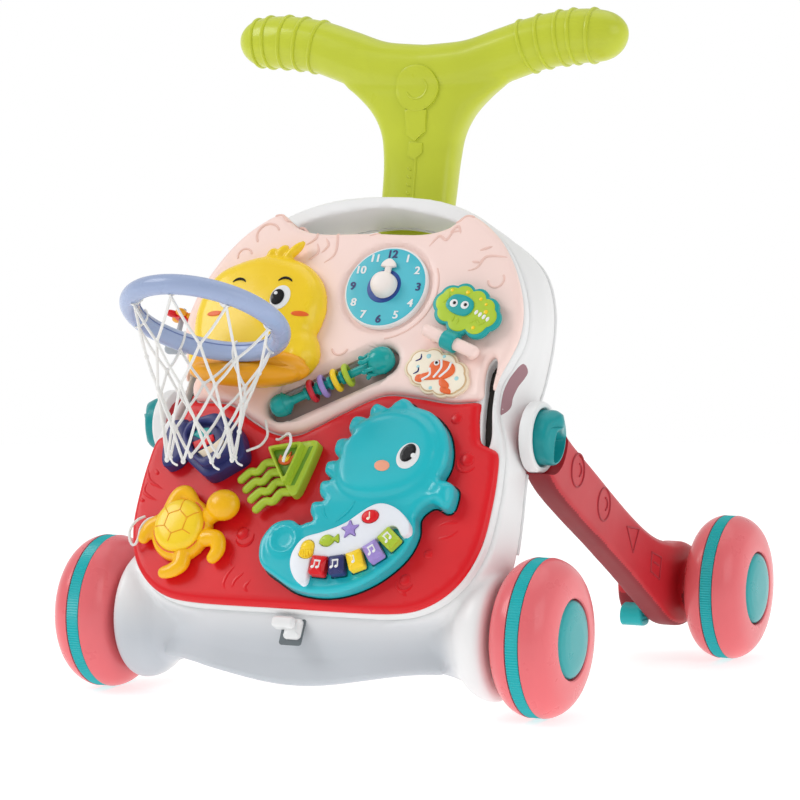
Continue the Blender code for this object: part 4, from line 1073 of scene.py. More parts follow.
# Which faces of a leg get painted shade, a darker red on its underside: where they end, and how they
# point.
LEG_PAINTED_SHADE_END, PAINTED_SHADE_DOWN, PAINTED_SHADE_ACROSS = 0.25, -0.2, 0.8
LEG_OUTLINE = mm([(30, 183), (35, 198), (50, 205.5), (66, 201), (77, 187), (130, 158), (201, 120.5),
                  (250, 99.5), (290, 90.5), (319, 88), (343, 78), (352, 56), (343, 34), (319, 24),
                  (287, 29), (256, 45), (206, 72), (150, 101), (98, 127), (60, 148), (40, 165)])
AXLE_AT = (WHEELBASE, WHEEL_RADIUS)


def side_frame(side):
    """A side frame with z pointing outwards from the walker."""
    return Matrix(((0, 0, side, 0), (1, 0, 0, FRONT_AXLE_Y), (0, 1, 0, 0), (0, 0, 0, 1)))


def legs():
    """Rear legs with their pivot cups, lock knobs, axles and speed levers."""
    for name, side in (("left", -1), ("right", 1)):
        body, out = f"leg_{name}", side_frame(side)
        cup = circle(HINGE_Y, HINGE_Z, HINGE_RADIUS + 0.0006, 56)
        form = loop(LEG_OUTLINE, 0.004)
        arm = Shape().pillow(form, LEG_INNER_X + 0.004, LEG_OUTER_X, edge=0.0045, grain=0.007,
                             matrix=out)
        arm.pillow(form, -LEG_OUTER_X + 0.006, -LEG_INNER_X, edge=0.0035, grain=0.007,
                   matrix=out @ Matrix.Diagonal((1, 1, -1, 1)))
        axle = out @ Matrix.Translation((*AXLE_AT, 0.0))
        arm.lathe(rounded(mm([(0, 165), (17, 165), (18.5, 155), (0, 155)]), 0.002), axle)
        arm.lathe(rounded(mm([(0, 108.2), (27.3, 108.2), (27.3, 140), (0, 140)]), 0.004), axle)
        mesh = organic(f"rear_leg_{name}_skin", arm, voxel=0.0017, smooth=5)
        mesh = hollowed(mesh, out, cup, CUP_BACK + 0.0006)
        # Faces turned down near the front take the darker red: painted shade.
        for face in mesh.polygons:
            under = face.normal.z < PAINTED_SHADE_DOWN and abs(face.normal.x) < PAINTED_SHADE_ACROSS
            face.material_index = int(under and face.center.y < LEG_PAINTED_SHADE_END)
        piece(f"rear_leg_{name}_skin", mesh, [LEG_RED, LEG_PAINTED_SHADE], body,
              [f"rear_leg_{name}"])

        # Raised rings and marks in a darker red that paints their shade.
        marks, ground = Shape(), flat(LEG_OUTER_X)
        for y, z in ((0.0935, 0.161), (0.1435, 0.1325)):
            stroke(marks, circle(y, z, 0.0118, 40)[:, :2], ground, 0.0008, 0.0, out, closed=True)
            stroke(marks, arc(y + 0.002, z, 0.0045, 75, -80), ground, 0.0008, 0.0, out)
        three = [(0.189, 0.112), (0.213, 0.108), (0.201, 0.092)]
        stroke(marks, [*three, three[0]], ground, 0.0008, 0.0, out, step=0.03)
        four = mm([(240, 88), (260, 82), (256, 66), (238, 74)])
        stroke(marks, [*four, four[0]], ground, 0.0008, 0.0, out, step=0.03)
        stroke(marks, [(0.245, 0.08), (0.2545, 0.0765)], ground, 0.0008, 0.0, out)
        piece(f"leg_marks_{name}", marks, LEG_RELIEF_PAINTED_SHADE, body)

        hinge = out @ Matrix.Translation((HINGE_Y, HINGE_Z, CUP_BACK))
        shell = [(0.0, 0.004), (KNOB_RADIUS + 0.0006, 0.004), (KNOB_RADIUS + 0.001, 0.008),
                 (KNOB_RADIUS + 0.002, 0.0092), (HINGE_RADIUS - 0.0008, 0.0088), (HINGE_RADIUS, 0.007),
                 (HINGE_RADIUS, 0.0), (0.005, 0.0), (0.005, -0.03), (0.0, -0.03)]
        cover = Shape().lathe(rounded(shell, 0.0009), hinge, 72)
        piece(f"pivot_cover_{name}_cup", cover, WHITE, body, [f"pivot_cover_{name}"])

        def knob_height(x, y):
            u, v = x - HINGE_Y, y - HINGE_Z
            lobe = 0.0058 * np.exp(-((u + 0.002) ** 2 + (v - 0.0105) ** 2) / 0.01 ** 2)
            ridge = 0.0024 * np.exp(-((u + 0.0085) / 0.0055) ** 2) * (v < 0.008)
            pit = 0.0078 / (1 + np.exp(-(0.003 - v - 0.3 * u) / 0.0007))
            pit = pit * np.clip((u + 0.01) / 0.012, 0, 1) ** 0.7
            rim = np.clip((KNOB_RADIUS - 0.0012 - np.hypot(u, v)) / 0.0028, 0, 1)
            return lobe + ridge - pit * rim * rim * (3 - 2 * rim)

        knob = Shape().pillow(circle(HINGE_Y, HINGE_Z, KNOB_RADIUS, 72), CUP_BACK + 0.0042,
                              CUP_BACK + 0.0185, edge=0.003, grain=0.0009, matrix=out,
                              rise=knob_height)
        piece(f"lock_knob_{name}_dial", knob, KNOB_TEAL, f"knob_{name}", [f"lock_knob_{name}"])

        steel = Shape().lathe(rounded(mm([(0, 110), (3, 110), (3, 202), (0, 202)]),
                                      0.0006), axle, 32)
        piece(f"rear_axle_{name}_bar", steel, STEEL, body, [f"rear_axle_{name}"])

        lever = mm([(275.5, 40.5), (287, 43), (291.5, 34.5), (290, 26.8), (278, 26.8), (272.8, 32.5)])
        tab = Shape().pillow(loop(lever, 0.0015), 0.1185, 0.1355, edge=0.0018, matrix=out)
        for k in range(3):
            v = 0.0305 + 0.003 * k
            tab.tube([(0.2765, v, 0.1355), (0.287, v, 0.1355)], 0.0006, 6, matrix=out)
        tab.lathe(mm([(0, 130), (2, 130), (2, 145.2), (0, 145.2)]),
                  out @ Matrix.Translation((0.283, 0.044, 0.0)), 20)
        piece(f"speed_lever_{name}_tab", tab, TEAL, f"lever_{name}", [f"speed_lever_{name}"])


def hollowed(mesh, matrix, outline, floor):
    """A mesh with a pocket cut down to a floor."""
    tool = Shape().pillow(outline, floor, floor + 0.03, edge=0.0001, grain=0.02, matrix=matrix, rings=1)
    return cut(mesh, tool.mesh("pocket"))


legs()


# ---------------------------------------------------------------- panel
SIDE_LINE = mm([(76, 315), (97, 302), (113, 283), (125, 260), (131.5, 239), (132.5, 219), (127.5, 202),
                (121.5, 185)])
LOWER_LINE = mm([(124.5, 164), (133, 143), (136.5, 122), (138, 95), (136, 63), (125, 36), (104, 18),
                 (75, 11), (0, 10.5)])
TOP_LINE = [(0.0, 0.299), (0.04, 0.2985), (0.06, 0.3035)]
SEAM = mm([(-120.5, 165.5), (-108, 164), (-82, 163), (-61, 151), (-40, 141.5), (-22, 141), (-8, 148),
           (10, 159), (38, 173), (66, 172), (90, 169), (108, 170.5), (119.5, 174)])
BEAD_A, BEAD_B, BEAD_H = np.array((-0.037, 0.161)), np.array((0.033, 0.198)), 0.015
PINK_FACE, RED_FACE = 0.0146, 0.0128


def capsule(a, b, half):
    """A slot's outline about two centres."""
    run = (b - a) / np.linalg.norm(b - a)
    side = np.array((-run[1], run[0]))
    out = []
    for end, start in ((a, 90), (b, -90)):
        for k in range(SLOT_STEPS + 1):
            t = math.radians(start + 180 * k / SLOT_STEPS)
            out.append(tuple(end + run * half * math.cos(t) + side * half * math.sin(t)))
    return np.array(out)


def panel():
    """White tray with the pink upper cover and the red lower cover."""
    outline = mirrored(TOP_LINE + SIDE_LINE + LOWER_LINE)
    slots = [loop(WAIST_SLOT), loop(flipped(WAIST_SLOT))]
    bead = capsule(BEAD_A, BEAD_B, 0.0117)
    tray = Shape().pillow(loop(outline, 0.003), 0.0004, TRAY_TOP, edge=0.0022, grain=0.007,
                          holes=[slots[0], slots[1], bead])
    tray.pillow(bead, 0.0008, 0.003, edge=0.0004, grain=0.004)
    piece("panel_tray_base", tray, WHITE, "panel", ["panel_tray"])
    # A pinkish-grey plate in the bead slot: painted shade on the recess floor.
    recess_shade_plate = Shape().pillow(capsule(BEAD_A, BEAD_B, 0.0114), 0.0031, 0.0036, edge=0.0004, grain=0.004)
    piece("bead_recess_painted_shade", recess_shade_plate, BEAD_RECESS_PAINTED_SHADE, "panel")

    side = mm([(75.5, 314), (96.5, 301), (112.2, 282.2), (124, 259.5), (130.3, 238.9), (131.2, 220),
               (127.2, 204), (122.8, 191), (121.2, 180), (120, 180), (120.2, 195), (119, 201.5),
               (116, 204.2), (112.8, 200), (111.8, 190), (112.6, 182), (113.6, 174)])
    lower = mm([(112.8, 169), (113.8, 160), (116.2, 148), (119.2, 140), (125.5, 136.8), (132.5, 133)])
    lower += [(x - 0.0012, y) for x, y in LOWER_LINE[2:7]] + mm([(75, 12), (0, 11.5)])
    seam = [p for p in SEAM if abs(p[0]) < 0.112]
    pink = ([(-x, y) for x, y in reversed(TOP_LINE) if x > 1e-6] + TOP_LINE + side
            + [(x, y + 0.0007) for x, y in reversed(seam)] + [(-x, y) for x, y in reversed(side)])
    red = ([(x, y - 0.0007) for x, y in seam] + lower
           + [(-x, y) for x, y in reversed(lower) if x > 0.001])

    def pink_relief(x, y):
        ring = np.hypot(x - DIAL[0], y - DIAL[1])
        out = -0.003 / (1 + np.exp((ring - 0.0352) / 0.0004))
        shelf = 1 / (1 + np.exp(-(x - 0.066) / 0.001)) / (1 + np.exp(-(0.215 - y) / 0.001))
        return out - 0.0012 * shelf * (x > 0.06) * (y < 0.24) * np.clip((0.112 - x) / 0.004, 0, 1)

    cover = Shape().pillow(loop(pink, 0.0025), 0.0084, PINK_FACE, edge=0.0045, grain=0.0022,
                           holes=[bead], rise=pink_relief)
    mesh = piece("panel_upper_cover", cover, PINK, "panel", ["panel_upper"]).data
    reliefs_pink(surface(mesh))

    lower_cover = Shape().pillow(loop(red, 0.0025), 0.0084, RED_FACE, edge=0.0044, grain=0.003)
    mesh = piece("panel_lower_cover", lower_cover, RED, "panel", ["panel_lower"]).data
    reliefs_red(surface(mesh))


def reliefs_pink(ground):
    """Raised coral, bubbles and smiles on the pink cover, in a darker pink that paints their shade."""
    lines = Shape()
    for side in (-1, 1):
        horn = mm([(56, 303.5), (62, 309), (68, 307.5), (73.5, 312.5), (78.5, 312)])
        stroke(lines, [(side * x, y) for x, y in horn], ground, 0.0012, -0.0003)
    for points in (mm([(84, 269), (90.5, 271.5), (96, 280), (111, 280)]),
                   [(0.086, 0.276), (0.0915, 0.2755)], [(0.09, 0.285), (0.0985, 0.288)],
                   mm([(50, 288), (56, 296), (62, 293), (66, 299), (72, 300)]),
                   [(0.064, 0.299), (0.069, 0.304), (0.072, 0.2985)],
                   [(-0.043, 0.276), (-0.037, 0.282), (-0.039, 0.289)],
                   mm([(-30, 274), (-23, 282), (-26, 299), (-36, 303)]),
                   [(-0.048, 0.288), (-0.041, 0.294), (-0.044, 0.301)],
                   [(-0.034, 0.282), (-0.03, 0.288), (-0.033, 0.293)],
                   [(0.001, 0.296), (0.008, 0.299)]):
        stroke(lines, points, ground, 0.0012, -0.0004, taper=0.5)
    stroke(lines, arc(-0.002, 0.2075, 0.0062, 200, 340), ground, 0.001, -0.0003)
    stroke(lines, arc(-0.081, 0.296, 0.009, 30, 215), ground, 0.0011, -0.0004)
    stroke(lines, arc(0.107, 0.262, 0.006, 190, 395), ground, 0.001, -0.0004)
    stroke(lines, arc(-0.096, 0.279, 0.0055, 20, 200), ground, 0.001, -0.0004)
    stroke(lines, arc(DIAL[0] + 0.001, DIAL[1] - 0.001, 0.0392, -80, 25, 30), ground, 0.0008, -0.0003)
    piece("pink_cover_reliefs", lines, PINK_RELIEF_PAINTED_SHADE, "panel")


def reliefs_red(ground):
    """Raised coral, strokes and bubbles on the red cover."""
    lines = Shape()
    for points in (mm([(-134, 112), (-130, 101), (-122, 96), (-115, 93)]),
                   mm([(-130, 101), (-132, 92), (-125, 87), (-118, 85)]),
                   [(-0.127, 0.109), (-0.123, 0.104)], [(-0.134, 0.086), (-0.129, 0.0835)],
                   [(-0.048, 0.052), (-0.0505, 0.044), (-0.047, 0.038)],
                   mm([(-44, 41), (-49.5, 33), (-51, 25), (-47, 20.5)]),
                   [(-0.0365, 0.035), (-0.0425, 0.029), (-0.044, 0.022)],
                   [(-0.03, 0.03), (-0.034, 0.024), (-0.03, 0.02)],
                   [(0.099, 0.085), (0.107, 0.088), (0.115, 0.085)],
                   [(0.101, 0.076), (0.108, 0.079), (0.117, 0.079)],
                   [(0.103, 0.067), (0.111, 0.069), (0.118, 0.074)],
                   [(0.082, 0.029), (0.09, 0.024)]):
        stroke(lines, points, ground, 0.0017, -0.0007, taper=0.6, flat_ratio=0.75)
    stroke(lines, arc(-0.043, 0.061, 0.0068, 200, 380), ground, 0.0013, -0.0004, taper=0.5)
    stroke(lines, arc(0.086, 0.034, 0.006, 180, 350), ground, 0.0013, -0.0004, taper=0.5)
    stroke(lines, arc(0.113, 0.124, 0.0072, 170, 330), ground, 0.0013, -0.0004, taper=0.5)
    for x, y, radius in ((0.113, 0.126, 0.0052), (0.0985, 0.156, 0.0042), (-0.104, 0.152, 0.003),
                         (0.099, 0.0555, 0.0032), (-0.045, 0.0635, 0.0048), (0.086, 0.036, 0.004)):
        bubble(lines, x, y, radius, ground, 0.3)
    piece("red_cover_reliefs", lines, RED, "panel")


DIAL, DIAL_RADIUS = (0.0236, 0.2545), 0.0318
panel()


def latch():
    """White hooked latch under the panel, with a grey plate under it that paints the shade of its well.
    """
    # A thin grey plate: painted shade in the latch's well.
    well = Shape().pillow(rounded_box(-0.005, -0.0118, 0.0122, 0.0078, 0.0022), -0.0002, 0.0005,
                          edge=0.0002, matrix=PANEL)
    piece("latch_painted_shade", well, LATCH_SHADE, "base")
    tab = Shape().pillow(rounded_box(-0.0112, -0.001, 0.006, 0.0072, 0.003), 0.0004, 0.0074,
                         edge=0.0024, grain=0.003, matrix=PANEL)
    tab.pillow(rounded_box(-0.002, -0.0078, 0.0108, 0.007, 0.003), 0.0004, 0.0034, edge=0.0016,
               grain=0.003, matrix=PANEL)
    piece("release_latch_tab", tab, WHITE, "latch", ["release_latch"])


latch()


# ---------------------------------------------------------------- duck, hoop and net
DUCK = mm([(-65, 275.5), (-45, 271.5), (-31.6, 263), (-22.2, 250), (-18.5, 234.3), (-20, 220),
           (-21.8, 215), (-17.5, 208), (-14.8, 196.8), (-18.4, 187.8), (-25.7, 181), (-40, 175.5),
           (-60, 173.5), (-82, 176), (-102, 185), (-114, 200), (-119, 219), (-119, 235), (-115, 250),
           (-106.5, 262), (-94, 269), (-78, 274.5)])


def duck():
    """Duck's head with its tuft, eyes, cheeks and the beak that holds the hoop."""
    head = Shape().pillow(loop(DUCK, 0.002), 0.0148, 0.029, edge=0.011, crown=0.006, grain=0.004)
    head.ball((-0.029, 0.1955, 0.019), (0.0118, 0.015, 0.0135))
    head.ball((-0.106, 0.1955, 0.019), (0.011, 0.015, 0.013))
    for x, y, turn, long in ((-0.07, 0.2755, 58, 0.005), (-0.063, 0.277, 52, 0.0066),
                             (-0.0545, 0.2765, 48, 0.011)):
        a = math.radians(turn)
        head.ball((x + 0.3 * long * math.cos(a), y + 0.3 * long * math.sin(a), 0.022),
                  (long, 0.0034, 0.0042), turn=Matrix.Rotation(a, 4, "Z"))
    mesh = organic("duck_head_skin", head, voxel=0.0011, smooth=6)
    piece("duck_head_skin", mesh, YELLOW, "panel", ["duck_head"])

    ground = surface(mesh)
    face = Shape()
    for x, y, turn in ((-0.048, 0.2365, -0.15), (-0.09, 0.2365, 0.15)):
        decal(face, circle(x, y, 0.0074, 40, 0.0096, turn), ground, 0.0006, mat=0)
        decal(face, circle(x - 0.0018, y - 0.0002, 0.005, 40, 0.0062, turn), ground, 0.0007, 0.0006,
              mat=1)
        decal(face, circle(x - 0.0034, y + 0.0026, 0.0014, 20), ground, 0.0005, 0.0012, mat=0)
    for x, y in ((-0.0475, 0.251), (-0.084, 0.2495)):
        stroke(face, arc(x, y - 0.0052, 0.0066, 40, 140), ground, 0.0011, 0.0001, mat=1, taper=0.6)
    for x, y in ((-0.031, 0.225), (-0.098, 0.223)):
        decal(face, circle(x, y, 0.0062, 32, 0.002, 0.06), ground, 0.0005, mat=2)
    piece("duck_face", face, [WHITE, DARK, DEEP_ORANGE], "panel")

    cx, cy = HOOP_CENTRE[:2]
    beak = Shape()
    beak.ball((cx + 0.001, cy - 0.0098, 0.033), (0.044, 0.0098, 0.013), segments=48)
    beak.ball((cx + 0.0015, cy - 0.005, 0.028), (0.0485, 0.0125, 0.012), segments=48)
    beak.ball((cx + 0.02, cy + 0.001, 0.027), (0.025, 0.0085, 0.011), segments=32)
    beak.ball((cx - 0.02, cy + 0.001, 0.027), (0.025, 0.0085, 0.011), segments=32)
    skin = organic("duck_beak_skin", beak, voxel=0.0012, smooth=6)
    slot = Shape().pillow(rounded_box(cx - 0.04, cy - 0.0078, cx + 0.04, cy + 0.008, 0.007), 0.0375,
                          0.08, edge=0.0002, grain=0.02, rings=1)
    piece("duck_beak_skin", cut(skin, slot.mesh("slot")), ORANGE, "panel", ["duck_beak"])


duck()


def hoop():
    """Lilac ring, with a darker line that paints the shade in its fine groove."""
    cx, cy, ch = HOOP_CENTRE
    ring = [(cx + HOOP_RADIUS * math.cos(a), cy, ch + HOOP_RADIUS * math.sin(a))
            for a in around(128)]
    shape = Shape().tube(ring, HOOP_TUBE, 28, closed=True, up=(0, 1, 0))
    piece("hoop_ring", shape, LILAC, "basket", ["hoop"])
    # A darker line inside the ring: painted shade in its fine groove.
    line = Shape()
    groove = [(cx + (HOOP_RADIUS - 0.0069) * math.cos(a), cy + 0.0018, ch + (HOOP_RADIUS - 0.0069)
               * math.sin(a)) for a in around(128)]
    line.tube(groove, 0.0004, 6, closed=True, up=(0, 1, 0))
    piece("hoop_groove_painted_shade", line, LILAC_GROOVE_PAINTED_SHADE, "basket")


# Where a net's loop passes round the hoop's tube, in degrees.
HOOK_TURNS = (130, 165, 200, 235, 265)


def net_point(turn, t):
    """A point on the net's sleeve: turn round it, t from the hoop to its open end."""
    cx, cy, ch = HOOP_CENTRE
    top_centre = PANEL @ Vector((cx, cy - HOOP_TUBE - 0.0008, ch))
    out = (PANEL.to_3x3() @ Vector((0, 0, 1))).normalized()
    low_centre = top_centre + Vector((0, -0.003, -0.0895))
    top = top_centre + (Vector((1, 0, 0)) * math.cos(turn) + out * math.sin(turn)) * 0.0505
    low = low_centre + Vector((math.cos(turn), -math.sin(turn), 0)) * 0.0245
    narrow = 1 - (1 - t) ** 1.7
    return np.array((top.x + (low.x - top.x) * narrow, top.y + (low.y - top.y) * narrow,
                     top.z + (low.z - top.z) * t))


def net():
    """Knotted white net: two families of cords that cross in diamonds, with loops over the hoop."""
    shape = Shape()
    count, rows = 8, 4
    cell = math.tau / count

    def knot_at(row, k):
        wobble = 0.05 * math.sin(3.1 * k + 1.7 * row)
        turn = cell * (k + 0.5 * (row % 2) + wobble)
        t = min(1.0, (row / rows) ** 0.93 + 0.02 * math.sin(2.3 * k + row) * (0 < row < rows))
        return net_point(turn, t)

    for row in range(rows):
        for k in range(count):
            start = knot_at(row, k)
            for step in ((0, 1) if row % 2 else (-1, 0)):
                end = knot_at(row + 1, k + step)
                sag = (start + end) / 2 + np.array((0, 0, -0.0012))
                shape.tube(path([start, sag, end], 0.004), 0.00105, 8, matrix=WORLD)
    for row in range(1, rows + 1):
        for k in range(count):
            at = knot_at(row, k)
            shape.ball(tuple(at), (0.0017, 0.0017, 0.0021), WORLD, segments=12)
    cx, cy, ch = HOOP_CENTRE
    for k in range(count):
        a = cell * k
        out = np.array((math.cos(a), math.sin(a)))
        wrap = [(0.0074 * math.cos(t), 0.0074 * math.sin(t)) for t in np.radians(HOOK_TURNS)]
        hook = [(cx + out[0] * (HOOP_RADIUS + r), cy + h, ch + out[1] * (HOOP_RADIUS + r))
                for r, h in wrap]
        shape.tube(path([PANEL @ Vector(p) for p in hook] + [knot_at(0, k)], 0.002), 0.00095, 8,
                   matrix=WORLD)
    for k in (1, 4, 7):
        at = knot_at(rows, k)
        tail = [at, at + np.array((0.003, -0.002, -0.0035)), at + np.array((0.007, -0.003, -0.005))]
        shape.tube(path(tail, 0.002), 0.0008, 6, matrix=WORLD)
    piece("net_cords", shape, CORD, "basket", ["net"])


hoop()
net()


# ---------------------------------------------------------------- clock
FIGURE_SIZE, FIGURE_RELIEF, FIGURE_WEIGHT = 0.0084, 0.0004, 0.0001
FIGURE_REACH = 0.0256                       # from the dial's centre to each figure
FIGURE_SHIFTS = (-0.00022, 0.00022)         # each figure is drawn twice, which thickens it


def text_shape(shape, word, x, y, size, top, mat, weight):
    """Raised figures, centred on a point."""
    curve = bpy.data.curves.new("figures", "FONT")
    curve.body = word
    curve.align_x, curve.align_y = "CENTER", "CENTER"
    curve.size = size
    curve.extrude = FIGURE_RELIEF / 2
    curve.offset = weight
    holder = in_scene("figures", curve)
    graph = bpy.context.evaluated_depsgraph_get()
    mesh = bpy.data.meshes.new_from_object(holder.evaluated_get(graph))
    shape.add([tuple(v.co) for v in mesh.vertices], [tuple(p.vertices) for p in mesh.polygons],
              PANEL @ Matrix.Translation((x, y, top)), mat)
    bpy.data.objects.remove(holder, do_unlink=True)


def clock():
    """Blue dial with a white rim and twelve figures, and a knob with a mushroom pointer."""
    x, y = DIAL
    face = Shape()
    face.pillow(circle(x, y, DIAL_RADIUS, 96), 0.0118, 0.016, edge=0.0012, grain=0.006, mat=1)
    face.pillow(circle(x, y, DIAL_RADIUS - 0.0014, 96), 0.015, 0.0163, edge=0.0004, grain=0.006, mat=0)
    for k in range(12):
        a = math.radians(90 - 30 * (k + 1))
        dark = (k + 1) % 3 == 0
        for shift in FIGURE_SHIFTS:
            text_shape(face, str(k + 1), x + FIGURE_REACH * math.cos(a) + shift,
                       y + FIGURE_REACH * math.sin(a), FIGURE_SIZE, 0.0164 + shift * 0.2,
                       mat=2 if dark else 1, weight=FIGURE_WEIGHT)
    face.pillow(circle(x - 0.0012, y + 0.0004, 0.013, 64), 0.016, 0.0168, edge=0.0005, mat=3)
    piece("clock_dial_face", face, [SKY, WHITE, NAVY, ROYAL], "panel", ["clock_dial"])

    knob = Shape()
    profile = mm([(0, 10.2), (4, 9.9), (7.2, 8.6), (8.8, 5.8), (9.4, 3), (9.6, 0), (0, 0)])
    knob.lathe([tuple(p) for p in path(profile[:5], 0.0012)] + profile[5:],
               PANEL @ Matrix.Translation((x, y, 0.0174)), 64)
    knob.pillow(rounded_box(x - 0.0023, y + 0.006, x + 0.0023, y + 0.016, 0.0008), 0.0174, 0.0196,
                edge=0.0008, grain=0.002)
    cap = mm([(-5.8, 15), (-5, 17.8), (-2.2, 20.4), (0, 21), (2.2, 20.4), (5, 17.8), (5.8, 15),
              (0, 14)])
    knob.pillow(loop([(x + u, y + v) for u, v in cap], 0.0008, (0, 6)), 0.0174, 0.02, edge=0.001,
                grain=0.0015)
    piece("clock_knob_pointer", knob, WHITE_WARM, "clock_hand", ["clock_knob"])


clock()

# ---------------------------------------------------------------- flip card and picture plate
BAR_A, BAR_B, BAR_H = np.array((0.067, 0.218)), np.array((0.104, 0.203)), 0.0215


def fish_card():
    """Scalloped fish card on a pink bar, and the striped-fish plate under it."""
    run = (BAR_B - BAR_A) / np.linalg.norm(BAR_B - BAR_A)
    up = np.array((-run[1], run[0]))
    middle = (BAR_A + BAR_B) / 2
    angle = math.atan2(run[1], run[0])

    def local(points, centre):
        return np.array([centre + run * u + up * v for u, v in points])

    bar = Shape()
    ends = [(*(BAR_A - run * 0.0005), BAR_H), (*(BAR_B + run * 0.0005), BAR_H)]
    line = [tuple(np.array(ends[0]) * (1 - t) + np.array(ends[1]) * t) for t in np.linspace(0, 1, 9)]
    bar.tube(line, 0.0046, 28)
    for side in (-1, 1):
        spot = middle + run * side * np.linalg.norm(BAR_B - BAR_A) / 2 * 0.84
        bar.lathe(mm([(0, 14.6), (4.2, 14.6), (3.4, 18), (3.4, 21.5), (0, 21.5)]),
                  PANEL @ Matrix.Translation((*spot, 0.0)), 24)
    piece("card_bar_rod", bar, PINK, "panel", ["card_bar"])

    def shell_outline(wide, tall, lobes):
        out = []
        for lobe, radius in lobes:
            cx, cy = wide * math.cos(math.radians(lobe)), tall * math.sin(math.radians(lobe))
            out.append((cx, cy, radius))
        fine = []
        for deg in range(0, 360, 3):
            a = math.radians(deg)
            far = 0.0
            for cx, cy, radius in [(0, 0, min(wide, tall))] + out:
                dx, dy = math.cos(a), math.sin(a)
                along_ray = cx * dx + cy * dy
                off = cx * cx + cy * cy - along_ray ** 2
                if off < radius * radius:
                    far = max(far, along_ray + math.sqrt(radius * radius - off))
            fine.append((far * math.cos(a), far * math.sin(a)))
        return fine

    centre = middle + up * 0.0252 - run * 0.0018
    card_form = shell_outline(0.019, 0.0108, [(5, 0.009), (42, 0.0082), (80, 0.008), (118, 0.0085),
                                               (155, 0.0085), (188, 0.009), (225, 0.009),
                                               (270, 0.0095), (318, 0.0095)])
    inner = [(u * 0.9, v * 0.87) for u, v in card_form]
    card = Shape()
    card.pillow(local(card_form, centre), BAR_H - 0.002, BAR_H + 0.0016, edge=0.0012, grain=0.003,
                mat=1)
    card.pillow(local(inner, centre), BAR_H, BAR_H + 0.0021, edge=0.0004, grain=0.003, mat=0)
    lug = [(*(middle + run * s), BAR_H) for s in (-0.0052, 0.0, 0.0052)]
    sleeve = mm([(4.7, -5.2), (6.8, -5.2), (6.8, 5.2), (4.7, 5.2)])
    turn = along(tuple(lug[1]), (*run, 0.0))
    card.lathe(rounded(sleeve, 0.0006), PANEL @ turn, 40, mat=1)
    neck = local(mm([(-5, 5.5), (5, 5.5), (5, 10.5), (-5, 10.5)]), middle)
    card.pillow(neck, BAR_H - 0.0015, BAR_H + 0.0015, edge=0.0006, mat=1)
    top = flat(BAR_H + 0.0021)
    body = mm([(-16.5, 0), (-14, 6), (-6, 8.5), (2, 7), (5, 1), (2, -5), (-7, -6.5), (-14.5, -4.5)])
    decal(card, local(loop(body, 0.001), centre), top, 0.001, mat=1)
    for u, v, r in ((-0.0105, 0.0, 0.003), (-0.002, 0.002, 0.003)):
        spot = local([(u, v)], centre)[0]
        decal(card, circle(*spot, r, 28), top, 0.0006, 0.001, mat=2)
        spot = local([(u + 0.0006, v + 0.0003)], centre)[0]
        decal(card, circle(*spot, 0.0012, 20), top, 0.0005, 0.0016, mat=3)
    for weed in ([(-0.019, -0.002), (-0.017, 0.002), (-0.019, 0.006)],
                 mm([(9, -8), (12, -4), (16, -6), (19, -2)]),
                 [(-0.001, -0.0085), (0.0, -0.012)], [(-0.005, -0.008), (-0.0045, -0.012)]):
        stroke(card, local(weed, centre), top, 0.0008, -0.0002, mat=4, taper=0.4)
    for u, v, r in ((-0.006, 0.0115, 0.0016), (0.006, 0.011, 0.0013), (0.015, 0.004, 0.0016),
                    (0.012, 0.009, 0.0011), (-0.018, 0.0085, 0.0012), (0.013, -0.01, 0.0014)):
        spot = local([(u, v)], centre)[0]
        decal(card, circle(*spot, r, 18), top, 0.0004, mat=5)
    for k in range(4):
        spot = local([(0.0085 + 0.0036 * k, 0.001 - 0.0004 * k)], centre)[0]
        decal(card, circle(*spot, 0.0012, 16, 0.0019, angle), top, 0.0004, mat=2)
    piece("flip_card_fish", card, [LIME_CARD, CARD_TEAL, WHITE, DARK, GREEN, YELLOW], "card",
          ["flip_card"])

    middle_low = middle - up * 0.0228 + run * 0.0004
    plate_form = shell_outline(0.0182, 0.009, [(0, 0.009), (40, 0.0085), (80, 0.0086), (120, 0.0086),
                                                (160, 0.0086), (200, 0.0086), (235, 0.008),
                                                (270, 0.008), (305, 0.0082), (335, 0.0085)])
    plate = Shape()
    plate.pillow(local(plate_form, middle_low), 0.013, 0.0158, edge=0.0008, grain=0.004, mat=0)
    inner = [(u * 0.93, v * 0.91) for u, v in plate_form]
    plate.pillow(local(inner, middle_low), 0.0155, 0.0163, edge=0.0003, grain=0.004, mat=1)
    inner = [(u * 0.89, v * 0.86) for u, v in plate_form]
    plate.pillow(local(inner, middle_low), 0.016, 0.0166, edge=0.0003, grain=0.004, mat=2)
    top = flat(0.0166)
    fish = mm([(-6, 6), (0, 9.5), (9, 10), (13, 5), (10, -1), (3, -5), (-3, -8), (-8, -10), (-9, -6),
               (-5, -2), (-7, 2)])
    decal(plate, local(loop(fish, 0.001), middle_low), top, 0.0008, mat=3)
    for fin in (mm([(6, -2), (14, -4), (15, -8), (9, -8), (6, -5)]),
                mm([(-8, -6), (-12, -8), (-11, -12), (-6, -11)]),
                mm([(10, -8), (17, -7), (19, -10), (12, -11.5)])):
        decal(plate, local(loop(fin, 0.001), middle_low), top, 0.0006, mat=3)
    for band in ([(-0.001, 0.009), (0.002, 0.004), (0.001, -0.004)],
                 [(0.007, 0.01), (0.0075, 0.005), (0.005, -0.002)],
                 [(-0.0055, 0.0), (-0.003, -0.004), (-0.006, -0.009)]):
        stroke(plate, local(band, middle_low), top, 0.0011, 0.0004, mat=4, flat_ratio=0.6)
    spot = local([(-0.003, 0.0058)], middle_low)[0]
